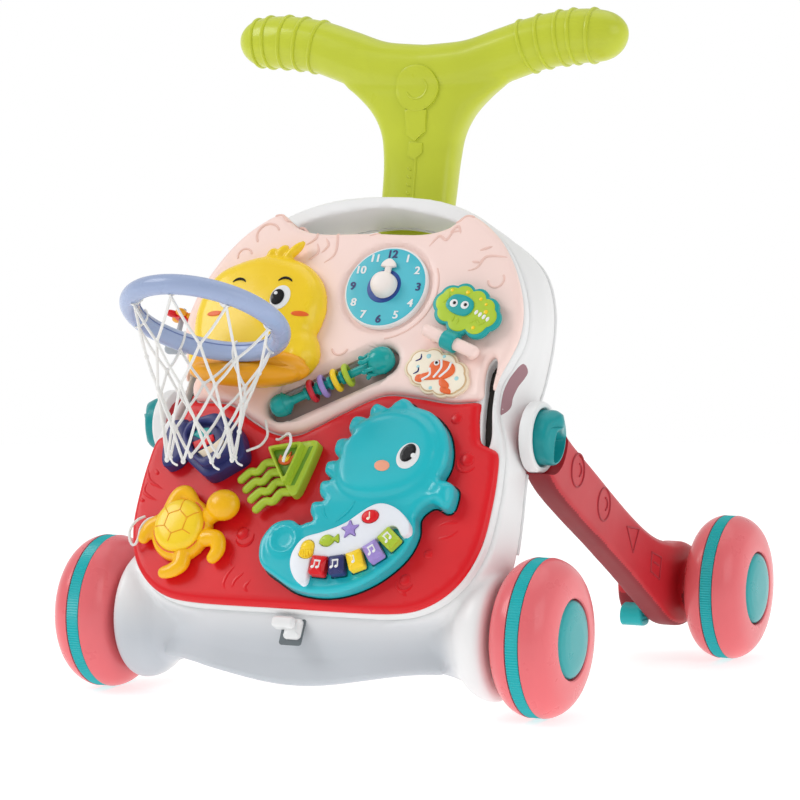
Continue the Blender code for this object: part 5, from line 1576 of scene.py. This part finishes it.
    decal(plate, circle(*spot, 0.0021, 24), top, 0.0005, 0.0008, mat=4)
    decal(plate, circle(*spot, 0.0011, 20), top, 0.0005, 0.0012, mat=5)
    for u, v, r in ((-0.012, 0.008, 0.0018), (-0.001, 0.0125, 0.0013), (0.017, 0.002, 0.0016),
                    (-0.015, -0.002, 0.0012), (0.003, -0.012, 0.0013)):
        spot = local([(u, v)], middle_low)[0]
        decal(plate, circle(*spot, r, 20), top, 0.0003, mat=6)
    for weed in ([(-0.019, 0.001), (-0.0165, 0.004), (-0.018, 0.007)],
                 [(-0.015, -0.008), (-0.013, -0.005), (-0.0145, -0.002)]):
        stroke(plate, local(weed, middle_low), top, 0.0007, -0.0002, mat=7, taper=0.4)
    piece("picture_plate_fish", plate, [BEIGE, BEIGE_LINE, CREAM, CLOWN, WHITE, DARK, PALE_BLUE, NAVY],
          "panel", ["picture_plate"])


fish_card()


# ---------------------------------------------------------------- bead roller
def bead_roller():
    """Teal rod with a ball end and an octopus end, and four loose rings."""
    run = (BEAD_B - BEAD_A) / np.linalg.norm(BEAD_B - BEAD_A)
    middle = (BEAD_A + BEAD_B) / 2
    half = float(np.linalg.norm(BEAD_B - BEAD_A)) / 2
    spot = PANEL @ along((*middle, BEAD_H), (*run, 0.0))
    rod = Shape()
    profile = [(0.0, half + 0.0095), (0.0055, half + 0.008), (0.0088, half + 0.004),
               (0.0098, half - 0.001), (0.0088, half - 0.006), (0.0058, half - 0.0092),
               (0.0033, half - 0.0105), (0.003, 0.0), (0.0032, -half + 0.009), (0.005, -half + 0.0068),
               (0.0078, -half + 0.0035), (0.0084, -half - 0.001), (0.007, -half - 0.0055),
               (0.004, -half - 0.0078), (0.0, -half - 0.0084)]
    rod.lathe([(max(r, 0.0), z) for r, z in path(profile, 0.0012)][:-1] + [(0.0, -half - 0.0084)], spot,
              40)
    for k in range(6):
        a = math.tau * k / 6 + 0.4
        side = Vector((math.cos(a), math.sin(a), 0.0))
        line = [tuple(side * r + Vector((0, 0, z))) for r, z in
                ((0.0072, half - 0.005), (0.007, half - 0.0085), (0.0062, half - 0.0115),
                 (0.0075, half - 0.0138))]
        rod.tube(path(line, 0.001), 0.0017, 10, matrix=spot)
    for z in (-0.0105, -0.001, 0.0085, -0.0195):
        rod.lathe([(0.0, z - 0.0016), (0.0046, z - 0.0012), (0.005, z), (0.0046, z + 0.0012),
                   (0.0, z + 0.0016)], spot, 24)
    for u, v in ((0.0028, -0.002), (-0.0028, -0.002)):
        rod.ball((0.009, u, half + v), (0.0012, 0.001, 0.0012), spot, segments=14)
    rod.tube([(0.0088, 0.0022 * math.cos(t), half - 0.004 - 0.0016 * math.sin(t))
              for t in np.linspace(0, math.pi, 8)], 0.0004, 6, matrix=spot)
    for k in range(3):
        z = -half + 0.003 - 0.003 * k
        r = 0.0082 * math.sqrt(max(0.1, 1 - (k * 0.003 / 0.0085) ** 2))
        rod.tube([(r * math.cos(t), r * math.sin(t), z) for t in around(36)], 0.0004, 6,
                 closed=True, matrix=spot)
    piece("bead_rod_octopus", rod, BEAD_TEAL, "roller", ["bead_rod"])
    colours = (("red", RING_RED, -0.015), ("purple", PURPLE, -0.0062), ("yellow", YELLOW, 0.004),
               ("green", GREEN, 0.013))
    for index, (slot, material, z) in enumerate(colours):
        ring = [(0.0068 + 0.002 * math.cos(t), z + 0.0021 * math.sin(t))
                for t in around(20)]
        shape = Shape().lathe(ring, spot, 48)
        piece(f"bead_ring_{index + 1}_loop", shape, material, f"ring_{index + 1}",
              [f"bead_ring_{index + 1}"])


bead_roller()

# ---------------------------------------------------------------- seahorse piano
SEAHORSE = mm([(-23, 43), (-24, 56), (-17, 68), (-5, 71.5), (3, 68), (7.5, 70), (12, 72), (8.5, 78),
               (8.5, 85), (11, 86), (17, 87), (12.5, 92), (11.5, 100), (15, 102), (19, 103), (13, 108),
               (13, 115), (17, 117), (21.5, 118), (16.5, 124), (17, 132), (21, 134), (27, 135),
               (23.5, 142), (25.5, 150), (31, 151), (37, 150), (37, 156), (40, 161), (45, 160),
               (51, 158), (54.5, 162), (60, 165.5), (65, 164), (70, 160), (84, 155.5), (95.5, 145),
               (101.5, 132), (103, 119), (100, 108), (101, 106), (108, 104.5), (112.5, 100), (112, 88),
               (107.5, 85), (99, 88.5), (93, 86), (88.5, 79), (90, 67), (86, 53), (76, 40), (62, 29),
               (45, 21.5), (27, 19), (8, 21.5), (-8, 29.5), (-18, 35.5)])
KEY_PLATE = mm([(6, 36), (11, 27), (17.5, 22.2), (20.5, 24.5), (21, 34), (21.8, 42.5), (34.5, 43),
                (47.6, 46), (59.6, 52.2), (68.3, 60), (74.5, 67.2), (80, 66.8), (85, 61), (89, 64),
                (87.8, 71), (78, 80), (66, 84), (56, 81), (40, 68), (25, 61), (12, 56), (6, 46)])
BODY_TOP, PLATE_TOP = 0.028, 0.0305
KEY_CENTRE, KEY_ARC = np.array((0.03, 0.095)), 0.059
BUTTONS = (("octopus", 0.017, 0.048), ("fish", 0.032, 0.0545), ("star", 0.046, 0.0635),
           ("fruit", 0.059, 0.0735))
HEAD = mm([(27.5, 100), (23.5, 118), (28, 136), (40, 148), (57, 153.5), (74, 151), (87, 142.5),
           (93.5, 130), (93.5, 116), (88, 104), (76, 95), (58, 90.5), (40, 91.5)])


def key_outline(index, wide, tall, rim=0.0014):
    """The rounded box of one piano key, on an arc."""
    a = math.radians(-92.0 + 13.4 * index)
    out = np.array((math.cos(a), math.sin(a)))
    side = np.array((-out[1], out[0]))
    centre = KEY_CENTRE + out * KEY_ARC
    box = rounded_box(-wide, -tall, wide, tall, rim)
    return np.array([centre + side * u + out * v for u, v in box]), centre, a


def seahorse():
    """Sea-green seahorse housing with its face, and the keyboard in its tail."""
    outline = loop(SEAHORSE, 0.0016)
    head_loop = loop(HEAD, 0.002)

    def relief(x, y):
        p = np.stack((x, y), 1)
        into = distances(p, [head_loop]) * np.where(inside(p, [head_loop]), 1, -1)
        out = 0.004 / (1 + np.exp(-into / 0.0012))
        curl = np.hypot(x + 0.0055, y - 0.0555)
        out += 0.0016 * np.exp(-((curl - 0.0095) / 0.0022) ** 2)
        out += 0.0026 * np.exp(-((x - 0.105) ** 2 + (y - 0.096) ** 2) / 0.008 ** 2)
        out -= 0.0012 * np.exp(-((x - 0.0975) ** 2 + (y - 0.0985) ** 2) / 0.005 ** 2)
        low = np.clip((0.085 - y) / 0.02, 0, 1)
        return out - 0.0016 * low

    plate_line = loop(KEY_PLATE, 0.002)
    body = Shape().pillow(outline, 0.0132, BODY_TOP - 0.0015, edge=0.005, grain=0.0019, rise=relief)
    mesh = body.mesh("seahorse")
    for ring in [key_outline(index, 0.0062, 0.0074)[0] for index in range(5)] + [plate_line]:
        tool = Shape().pillow(ring, 0.0225, 0.05, edge=0.0001, grain=0.02, rings=1)
        mesh = cut(mesh, tool.mesh("well"))
    piece("seahorse_body_skin", mesh, SEA, "panel", ["seahorse_body"])
    # A black sheet just outside the seahorse's edge: painted shadow in the gap round it.
    shadow = Shape().pillow(offset(outline, 0.0012), 0.0126, 0.0131, edge=0.0002, grain=0.006)
    piece("seahorse_painted_gap_shadow", shadow, DARK, "panel")

    ground = surface(mesh)
    face = Shape()
    decal(face, circle(0.077, 0.1195, 0.0082, 44, 0.0098, -0.35), ground, 0.0006, mat=0)
    decal(face, circle(0.0768, 0.1215, 0.0052, 44, 0.007, -0.45), ground, 0.0006, 0.0006, mat=1)
    decal(face, circle(0.0812, 0.1195, 0.0018, 20), ground, 0.0006, 0.0009, mat=0)
    decal(face, circle(0.059, 0.1115, 0.0058, 32, 0.004, -0.1), ground, 0.0005, mat=2)
    piece("seahorse_face", face, [WHITE, DARK, PEACH], "panel")
    marks = Shape()
    stroke(marks, [(0.043, 0.087), (0.039, 0.079), (0.03, 0.07)], ground, 0.0012, -0.0004, taper=0.7)
    stroke(marks, [(0.025, 0.072), (0.021, 0.076), (0.019, 0.083)], ground, 0.001, -0.0004, taper=0.7)
    piece("seahorse_marks", marks, SEA, "panel")

    plate = Shape().pillow(plate_line, 0.0226, PLATE_TOP, edge=0.0008, grain=0.003, crown=0.0006)
    mesh = plate.mesh("plate")
    for outline in button_outlines().values():
        tool = Shape().pillow(offset(outline, 0.0004), 0.0215, 0.04, edge=0.0001, grain=0.02, rings=1)
        mesh = cut(mesh, tool.mesh("window"))
    piece("key_plate_white", mesh, PLATE, "panel", ["key_plate"])


# Outline of the octopus button, wide enough for its five feet.
OCTOPUS_SKIRT = mm([(0, 6.2), (-3, 5.2), (-4.8, 2.6), (-5.1, -1.2), (-5.6, -4.6), (-4, -6.3),
                    (-1.6, -7.2), (1.4, -7.1), (3.3, -6.1), (4.9, -4.3), (4.9, -1.2), (4.8, 2.6),
                    (3, 5.2)])


FOOT_SPOTS, FOOT_REACH, FOOT_ARCH = (-0.004, -0.002, 0.0, 0.002, 0.004), 0.0056, 108.0


def button_outlines():
    """The outlines of the four shape buttons."""
    (_, ox, oy), (_, fx, fy), (_, sx, sy), (_, rx, ry) = BUTTONS
    fish = mm([(-7, 0), (-4.6, 3.4), (-0.6, 4.4), (3, 2.2), (4.4, 1.2), (7.2, 3.4), (7.2, -3),
               (4.4, -1), (3, -2.2), (-0.6, -4), (-4.6, -3)])
    star = []
    for k in range(10):
        a = math.pi / 2 + math.tau * k / 10 + 0.2
        r = 0.0068 if k % 2 == 0 else 0.0034
        star.append((sx + r * math.cos(a), sy + r * math.sin(a)))
    return {
        "octopus": loop([(ox + u, oy + v) for u, v in OCTOPUS_SKIRT], 0.0008),
        "fish": loop(turned_outline([(fx + u, fy + v) for u, v in fish], (fx, fy), 0.25), 0.001),
        "star": loop(star, 0.0009),
        "fruit": circle(rx, ry, 0.0062, 40, 0.0048, 0.2),
    }


def note(shape, x, y, turn, top, mat, double=True):
    """A pair of joined notes."""
    c, s = math.cos(turn), math.sin(turn)

    def at(u, v):
        return (x + u * c - v * s, y + u * s + v * c)
    for u in ((-0.0018, 0.0018) if double else (0.0,)):
        decal(shape, circle(*at(u - 0.0007, -0.0022), 0.0013, 18, 0.001, turn + 0.3), flat(top), 0.0004,
              mat=mat)
        stroke(shape, [at(u + 0.0003, -0.002), at(u + 0.0003, 0.0022)], flat(top), 0.00045, 0.0,
               mat=mat)
    if double:
        stroke(shape, [at(-0.0015, 0.0024), at(0.0021, 0.0024)], flat(top), 0.0007, 0.0, mat=mat)


def keyboard():
    """Five piano keys with notes, and four shape buttons."""
    colours = (("red", RED), ("navy", NAVY), ("yellow", YELLOW), ("purple", PURPLE), ("green", GREEN))
    for index, (slot, material) in enumerate(colours):
        outline, centre, a = key_outline(index, 0.0056, 0.0068, 0.0016)
        key = Shape().pillow(outline, BODY_TOP - 0.002, PLATE_TOP + 0.0026, edge=0.0016, grain=0.0025,
                             crown=0.0009, mat=0)
        note(key, centre[0], centre[1], a + math.pi / 2, PLATE_TOP + 0.0034, 1, index != 2)
        piece(f"piano_key_{index + 1}_cap", key, [material, WHITE], f"key_{index + 1}",
              [f"piano_key_{index + 1}"])
    low, top = BODY_TOP - 0.002, PLATE_TOP + 0.0022

    def button(name, shape, material):
        piece(f"button_{name}_cap", shape, material, f"{name}_button", [f"button_{name}"])

    (_, ox, oy), (_, fx, fy), (_, sx, sy), (_, rx, ry) = BUTTONS
    outlines = button_outlines()

    def cap(name):
        return Shape().pillow(outlines[name], low, top, edge=0.0013, grain=0.001, crown=0.0007)

    shape = Shape().pillow(outlines["octopus"], low, top - 0.0011, edge=0.0008, grain=0.001)
    shape.pillow(circle(ox, oy + 0.0008, 0.0046, 40, 0.005, 0.0), low, top, edge=0.0013, grain=0.001,
                 crown=0.0007)
    shape.ball((ox, oy + 0.0014, top - 0.0008), (0.004, 0.0036, 0.0022), segments=20)
    for u in FOOT_SPOTS:
        foot = oy - FOOT_REACH + FOOT_ARCH * u * u
        shape.tube([(ox + u * 0.8, oy - 0.002, top), (ox + u, foot, top - 0.0004)], 0.001, 8)
    button("octopus", shape, YELLOW)
    shape = cap("fish")
    shape.ball((fx - 0.0036, fy - 0.0004, top + 0.0004), (0.0007, 0.0007, 0.0005), segments=10)
    for u in (-0.0006, 0.0016):
        stroke(shape, [(fx + u, fy + 0.0024), (fx + u + 0.0008, fy), (fx + u, fy - 0.002)],
               flat(top + 0.0004), 0.0003)
    button("fish", shape, GREEN)
    shape = cap("star")
    shape.tube([(sx + 0.0018 * math.cos(t), sy + 0.0018 * math.sin(t), top + 0.0005)
                for t in around(18)], 0.0003, 6, closed=True)
    button("star", shape, PURPLE)
    shape = cap("fruit")
    note(shape, rx, ry, 0.2, top + 0.0006, 1, False)
    button("fruit", shape, [RED, CREAM])


seahorse()
keyboard()


# ---------------------------------------------------------------- sorter blocks
def turtle():
    """Yellow turtle: shell with six-sided scales, round head and four flippers."""
    cx, cy = -0.091, 0.0625
    body = Shape()
    body.pillow(circle(cx, cy, 0.0232, 64, 0.0242), 0.0136, 0.0215, edge=0.004, grain=0.004)
    body.ball((-0.0602, 0.08, 0.0225), (0.0126, 0.0116, 0.009))
    body.ball((-0.069, 0.0735, 0.02), (0.007, 0.007, 0.0055))
    for line in (mm([(-102, 76, 19), (-98.5, 86, 20), (-93, 89, 20), (-86, 83, 19.5)]),
                 [(-0.108, 0.066, 0.019), (-0.115, 0.062, 0.019), (-0.119, 0.054, 0.0185)],
                 mm([(-70, 56, 19), (-61, 56, 19.5), (-58, 48, 19), (-61, 42, 18.5)]),
                 mm([(-85, 43, 18.5), (-84.5, 36, 19), (-90, 31, 19), (-96.5, 29, 18.5)])):
        smooth = path(line, 0.002)
        radii = 0.0064 - 0.0018 * np.linspace(0, 1, len(smooth)) ** 2
        body.tube(smooth, radii, 16, flat=0.85)
    skin = organic("turtle_skin", body, voxel=0.0011, smooth=5)
    piece("turtle_block_body", skin, TURTLE_YELLOW, "turtle_piece", ["turtle_block"])

    shell = Shape().pillow(circle(cx - 0.0005, cy + 0.001, 0.019, 64, 0.0198), 0.0205, 0.0262,
                           edge=0.005, grain=0.003, crown=0.0022)
    mesh = piece("turtle_block_shell", shell, YELLOW, "turtle_piece").data
    ground = surface(mesh)
    lines = Shape()
    hexagon = [(cx - 0.0005 + 0.0088 * math.cos(math.radians(60 * k + 22)),
                cy + 0.0015 + 0.009 * math.sin(math.radians(60 * k + 22))) for k in range(6)]
    for k in range(6):
        one, two = hexagon[k], hexagon[(k + 1) % 6]
        stroke(lines, [one, two], ground, 0.0004, 0.0)
        away = (cx + (one[0] - cx) * 1.9, cy + 0.001 + (one[1] - cy) * 1.9)
        stroke(lines, [one, away], ground, 0.0004, 0.0)
    piece("turtle_block_scales", lines, ORANGE, "turtle_piece")
    gap = Shape().tube([(cx - 0.0005 + 0.0194 * math.cos(t), cy + 0.001 + 0.0202 * math.sin(t), 0.0214)
                        for t in around(72)], 0.0006, 6, closed=True)
    piece("turtle_block_groove", gap, DEEP_ORANGE, "turtle_piece")


def jellyfish():
    """Green jellyfish: a tray-like triangle bell and four wavy arms."""
    outline = loop(mm([(-33, 123.5), (-30, 126.5), (-2, 132.5), (2, 129), (-5.5, 94), (-9, 90.5),
                       (-13, 92.5)]), 0.002)
    base = Shape().pillow(outline, 0.0132, 0.0225, edge=0.0022, grain=0.003)
    for k in range(4):
        u, v = -0.03 + 0.0056 * k, 0.115 - 0.0072 * k
        line = [(u, v, 0.019), (u - 0.006, v - 0.001, 0.0195), (u - 0.0105, v - 0.0075, 0.0195),
                (u - 0.0165, v - 0.008, 0.0195), (u - 0.0225, v - 0.014, 0.019)]
        base.tube(path(line, 0.0015), 0.003, 14)
    piece("jellyfish_block_base", base, GREEN, "jellyfish_piece", ["jellyfish_block"])
    bell = np.array([(-0.0325, 0.123), (-0.008, 0.1275), (-0.015, 0.0975)])
    ring = loop(mm([(-32.5, 122.5), (-30, 124), (-9, 128), (-7.5, 126), (-13.5, 98.5), (-15.5, 97.5)]),
                0.0015)
    middle = bell.mean(0)
    inner = middle + (ring - middle) * 0.8
    wall = Shape().pillow(ring, 0.0215, 0.029, edge=0.0008, grain=0.003, holes=[inner])
    piece("jellyfish_block_wall", wall, GREEN, "jellyfish_piece")
    deep = Shape().pillow(middle + (ring - middle) * 0.82, 0.0222, 0.024, edge=0.0003, grain=0.003)
    piece("jellyfish_block_floor", deep, LEAF, "jellyfish_piece")
    side = Shape()
    groove = mm([(-4, 126.5), (-1, 127.5), (-8.5, 97.5), (-11.5, 97)])
    side.pillow(loop(groove, 0.002, range(4)), 0.022, 0.0229, edge=0.0003, grain=0.003)
    piece("jellyfish_block_groove", side, LEAF, "jellyfish_piece")
    emblem, top = Shape(), flat(0.024)
    flame = mm([(-6, -3), (-5, 2), (-3, 0), (-1.5, 4.5), (0.5, 0.5), (3, 5), (3.5, 0.5), (6.5, 3),
                (4, -4), (-2, -5.5)])
    decal(emblem, loop([(middle[0] + u * 0.95, middle[1] + 0.001 + v) for u, v in flame], 0.0008), top,
          0.0012, mat=0)
    small = [(u * 0.5, v * 0.55 - 0.0006) for u, v in flame]
    decal(emblem, loop([(middle[0] + u, middle[1] + 0.001 + v) for u, v in small], 0.0006), top, 0.001,
          0.001, mat=1)
    piece("jellyfish_block_emblem", emblem, [DEEP_ORANGE, YELLOW], "jellyfish_piece")


def fish_block():
    """Navy faceted fish with a carved window."""
    body = mm([(-104, 124), (-102, 137), (-95, 142), (-80, 147.5), (-74, 147), (-62, 139), (-56, 130),
               (-52, 117), (-62, 108), (-76, 100), (-88, 106), (-99, 115)])
    tail = mm([(-104, 143), (-112, 144), (-118, 142), (-120, 128), (-118, 112), (-113, 107),
               (-104, 112), (-100, 124)])
    block = Shape()
    block.pillow(loop(body, 0.002), 0.0134, 0.0262, edge=0.0016, grain=0.004, rings=2)
    block.pillow(loop(tail, 0.002), 0.0134, 0.0235, edge=0.0022, grain=0.004, rings=2)
    mesh = block.mesh("fish_block_skin", 28)
    piece("fish_block_body", mesh, NAVY, "fish_piece", ["fish_block"])
    raised = mm([(-100, 126.5), (-98.5, 137), (-92, 141), (-80, 145.5), (-74.5, 144.5), (-65, 137.5),
                 (-60, 129), (-57, 119.5), (-65, 112), (-76.5, 105), (-86, 109.5), (-95.5, 117)])
    window = mm([(-96.5, 128), (-95.5, 133.5), (-88, 138.5), (-78, 137.5), (-70, 131), (-65.5, 123),
                 (-72, 117), (-80, 111.5), (-88, 116)])
    top = Shape().pillow(loop(raised, 0.002), 0.0255, 0.033, edge=0.0012, grain=0.003,
                         holes=[loop(window, 0.0015)], rings=2)
    piece("fish_block_top", top, NAVY, "fish_piece")
    art, floor = Shape(), flat(0.0278)
    art.pillow(loop(window, 0.0015), 0.0258, 0.0278, edge=0.0002, grain=0.004, mat=3)
    decal(art, loop(mm([(-95, 130), (-91, 135), (-83, 136), (-80, 132), (-87, 127)]),
                    0.001, range(5)), floor, 0.0008, mat=0)
    decal(art, loop(mm([(-93, 124), (-86, 127.5), (-78, 131), (-76, 126.5), (-83, 121), (-89, 118)]),
                    0.001, range(6)), floor, 0.0012, mat=1)
    decal(art, loop(mm([(-87, 117), (-81, 113), (-70, 120.5), (-68, 126), (-71, 129), (-76, 123.5)]),
                    0.001, range(6)), floor, 0.001, mat=2)
    piece("fish_block_picture", art, [BEAD_TEAL, RED, BEIGE, NAVY], "fish_piece")


turtle()
jellyfish()
fish_block()


# ---------------------------------------------------------------- side spinner
def spinner():
    """Petal spinner on a grey post at the frame's edge."""
    u, v, h = -0.15, 0.232, -0.01
    post = Shape()
    post.tube([(-0.132, v - 0.018, h), (-0.143, v - 0.018, h), (u - 0.004, v - 0.018, h)], 0.004, 20)
    post.tube([(u, v - 0.018, h), (u, v - 0.006, h), (u, v + 0.013, h)], 0.002, 16)
    piece("spinner_post_stem", post, GREY, "base", ["spinner_post"])
    turn = PANEL @ Matrix.Translation((u, v + 0.0085, h)) @ Matrix.Rotation(-math.pi / 2, 4, "X")
    petals = Shape()
    for k in range(5):
        a = math.tau * k / 5
        petals.ball((0.0078 * math.cos(a), 0.0078 * math.sin(a), 0.0), (0.0055, 0.0042, 0.0025), turn,
                    mat=k % 2, segments=18, turn=Matrix.Rotation(a, 4, "Z"))
    petals.lathe(rounded(mm([(2.4, -2.6), (5.2, -2.6), (5.2, 2.6), (2.4, 2.6), (2.4, -2.6)]),
                         0.0006), turn, 32, mat=1)
    piece("spinner_petals_wheel", petals, [ORANGE, RED], "spinner", ["spinner_petals"])


spinner()


# ---------------------------------------------------------------- behind the panel
def back():
    """Rear cover with ribs, screws and the battery door; front axle."""
    flip = PANEL @ Matrix.Diagonal((1, 1, -1, 1))
    ring = even(loop(mirrored(FRAME_HALF), 0.003), 240)
    middle = np.array((0.0, 0.17))
    ring = middle + (ring - middle) * 0.968
    door_hole = rounded_box(-0.0405, 0.0845, 0.0405, 0.1455, 0.004)
    grip_hole = loop([(0.986 * x, 0.986 * (y - 0.315) + 0.315) for x, y in GRIP_SLOT])
    cover = Shape().pillow(ring, 0.0335, 0.0365, edge=0.001, grain=0.006, holes=[grip_hole, door_hole],
                           matrix=flip)
    for x in (-0.07, 0.07):
        cover.pillow(rounded_box(x - 0.003, 0.05, x + 0.003, 0.185, 0.0028), 0.036, 0.0374, edge=0.0008,
                     grain=0.006, matrix=flip)
    piece("rear_cover_plate", cover, WHITE, "base", ["rear_cover"])
    door = Shape().pillow(rounded_box(-0.0398, 0.0852, 0.0398, 0.1448, 0.0036), 0.0338, 0.0392,
                          edge=0.001, grain=0.006, matrix=flip)
    for k in range(4):
        y = 0.126 + 0.0034 * k
        door.tube([(-0.011, y, 0.0393), (0.011, y, 0.0393)], 0.0008, 8, matrix=flip)
    piece("battery_door_plate", door, WHITE, "base", ["battery_door"])
    screws = Shape()
    for x, v, h in ((0.0, 0.093, 0.0391), (-0.1, 0.06, 0.0364), (0.1, 0.06, 0.0364),
                    (-0.108, 0.15, 0.0364), (0.108, 0.15, 0.0364), (-0.1, 0.25, 0.0364),
                    (0.1, 0.25, 0.0364)):
        spot = flip @ Matrix.Translation((x, v, h))
        screws.lathe(rounded(mm([(0, 0.7), (2.8, 0.7), (3.2, -0.6), (0, -0.6)]), 0.0003), spot, 24)
        for turn in (0, math.pi / 2):
            c, w = math.cos(turn) * 0.0019, math.sin(turn) * 0.0019
            screws.tube([(-c, -w, 0.0008), (c, w, 0.0008)], 0.00035, 6, matrix=spot)
    piece("rear_screws", screws, STEEL, "base")
    low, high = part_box("front_axle")
    half = max(abs(low[0]), abs(high[0]))
    bar = [(0.0, -half), (0.003, -half), (0.003, half), (0.0, half)]
    spot = along((0.0, FRONT_AXLE_Y, WHEEL_RADIUS), (1, 0, 0))
    piece("front_axle_bar", Shape().lathe(rounded(bar, 0.0006), spot, 32), STEEL, "base",
          ["front_axle"])


back()

# ---------------------------------------------------------------- final update
bpy.context.view_layer.update()
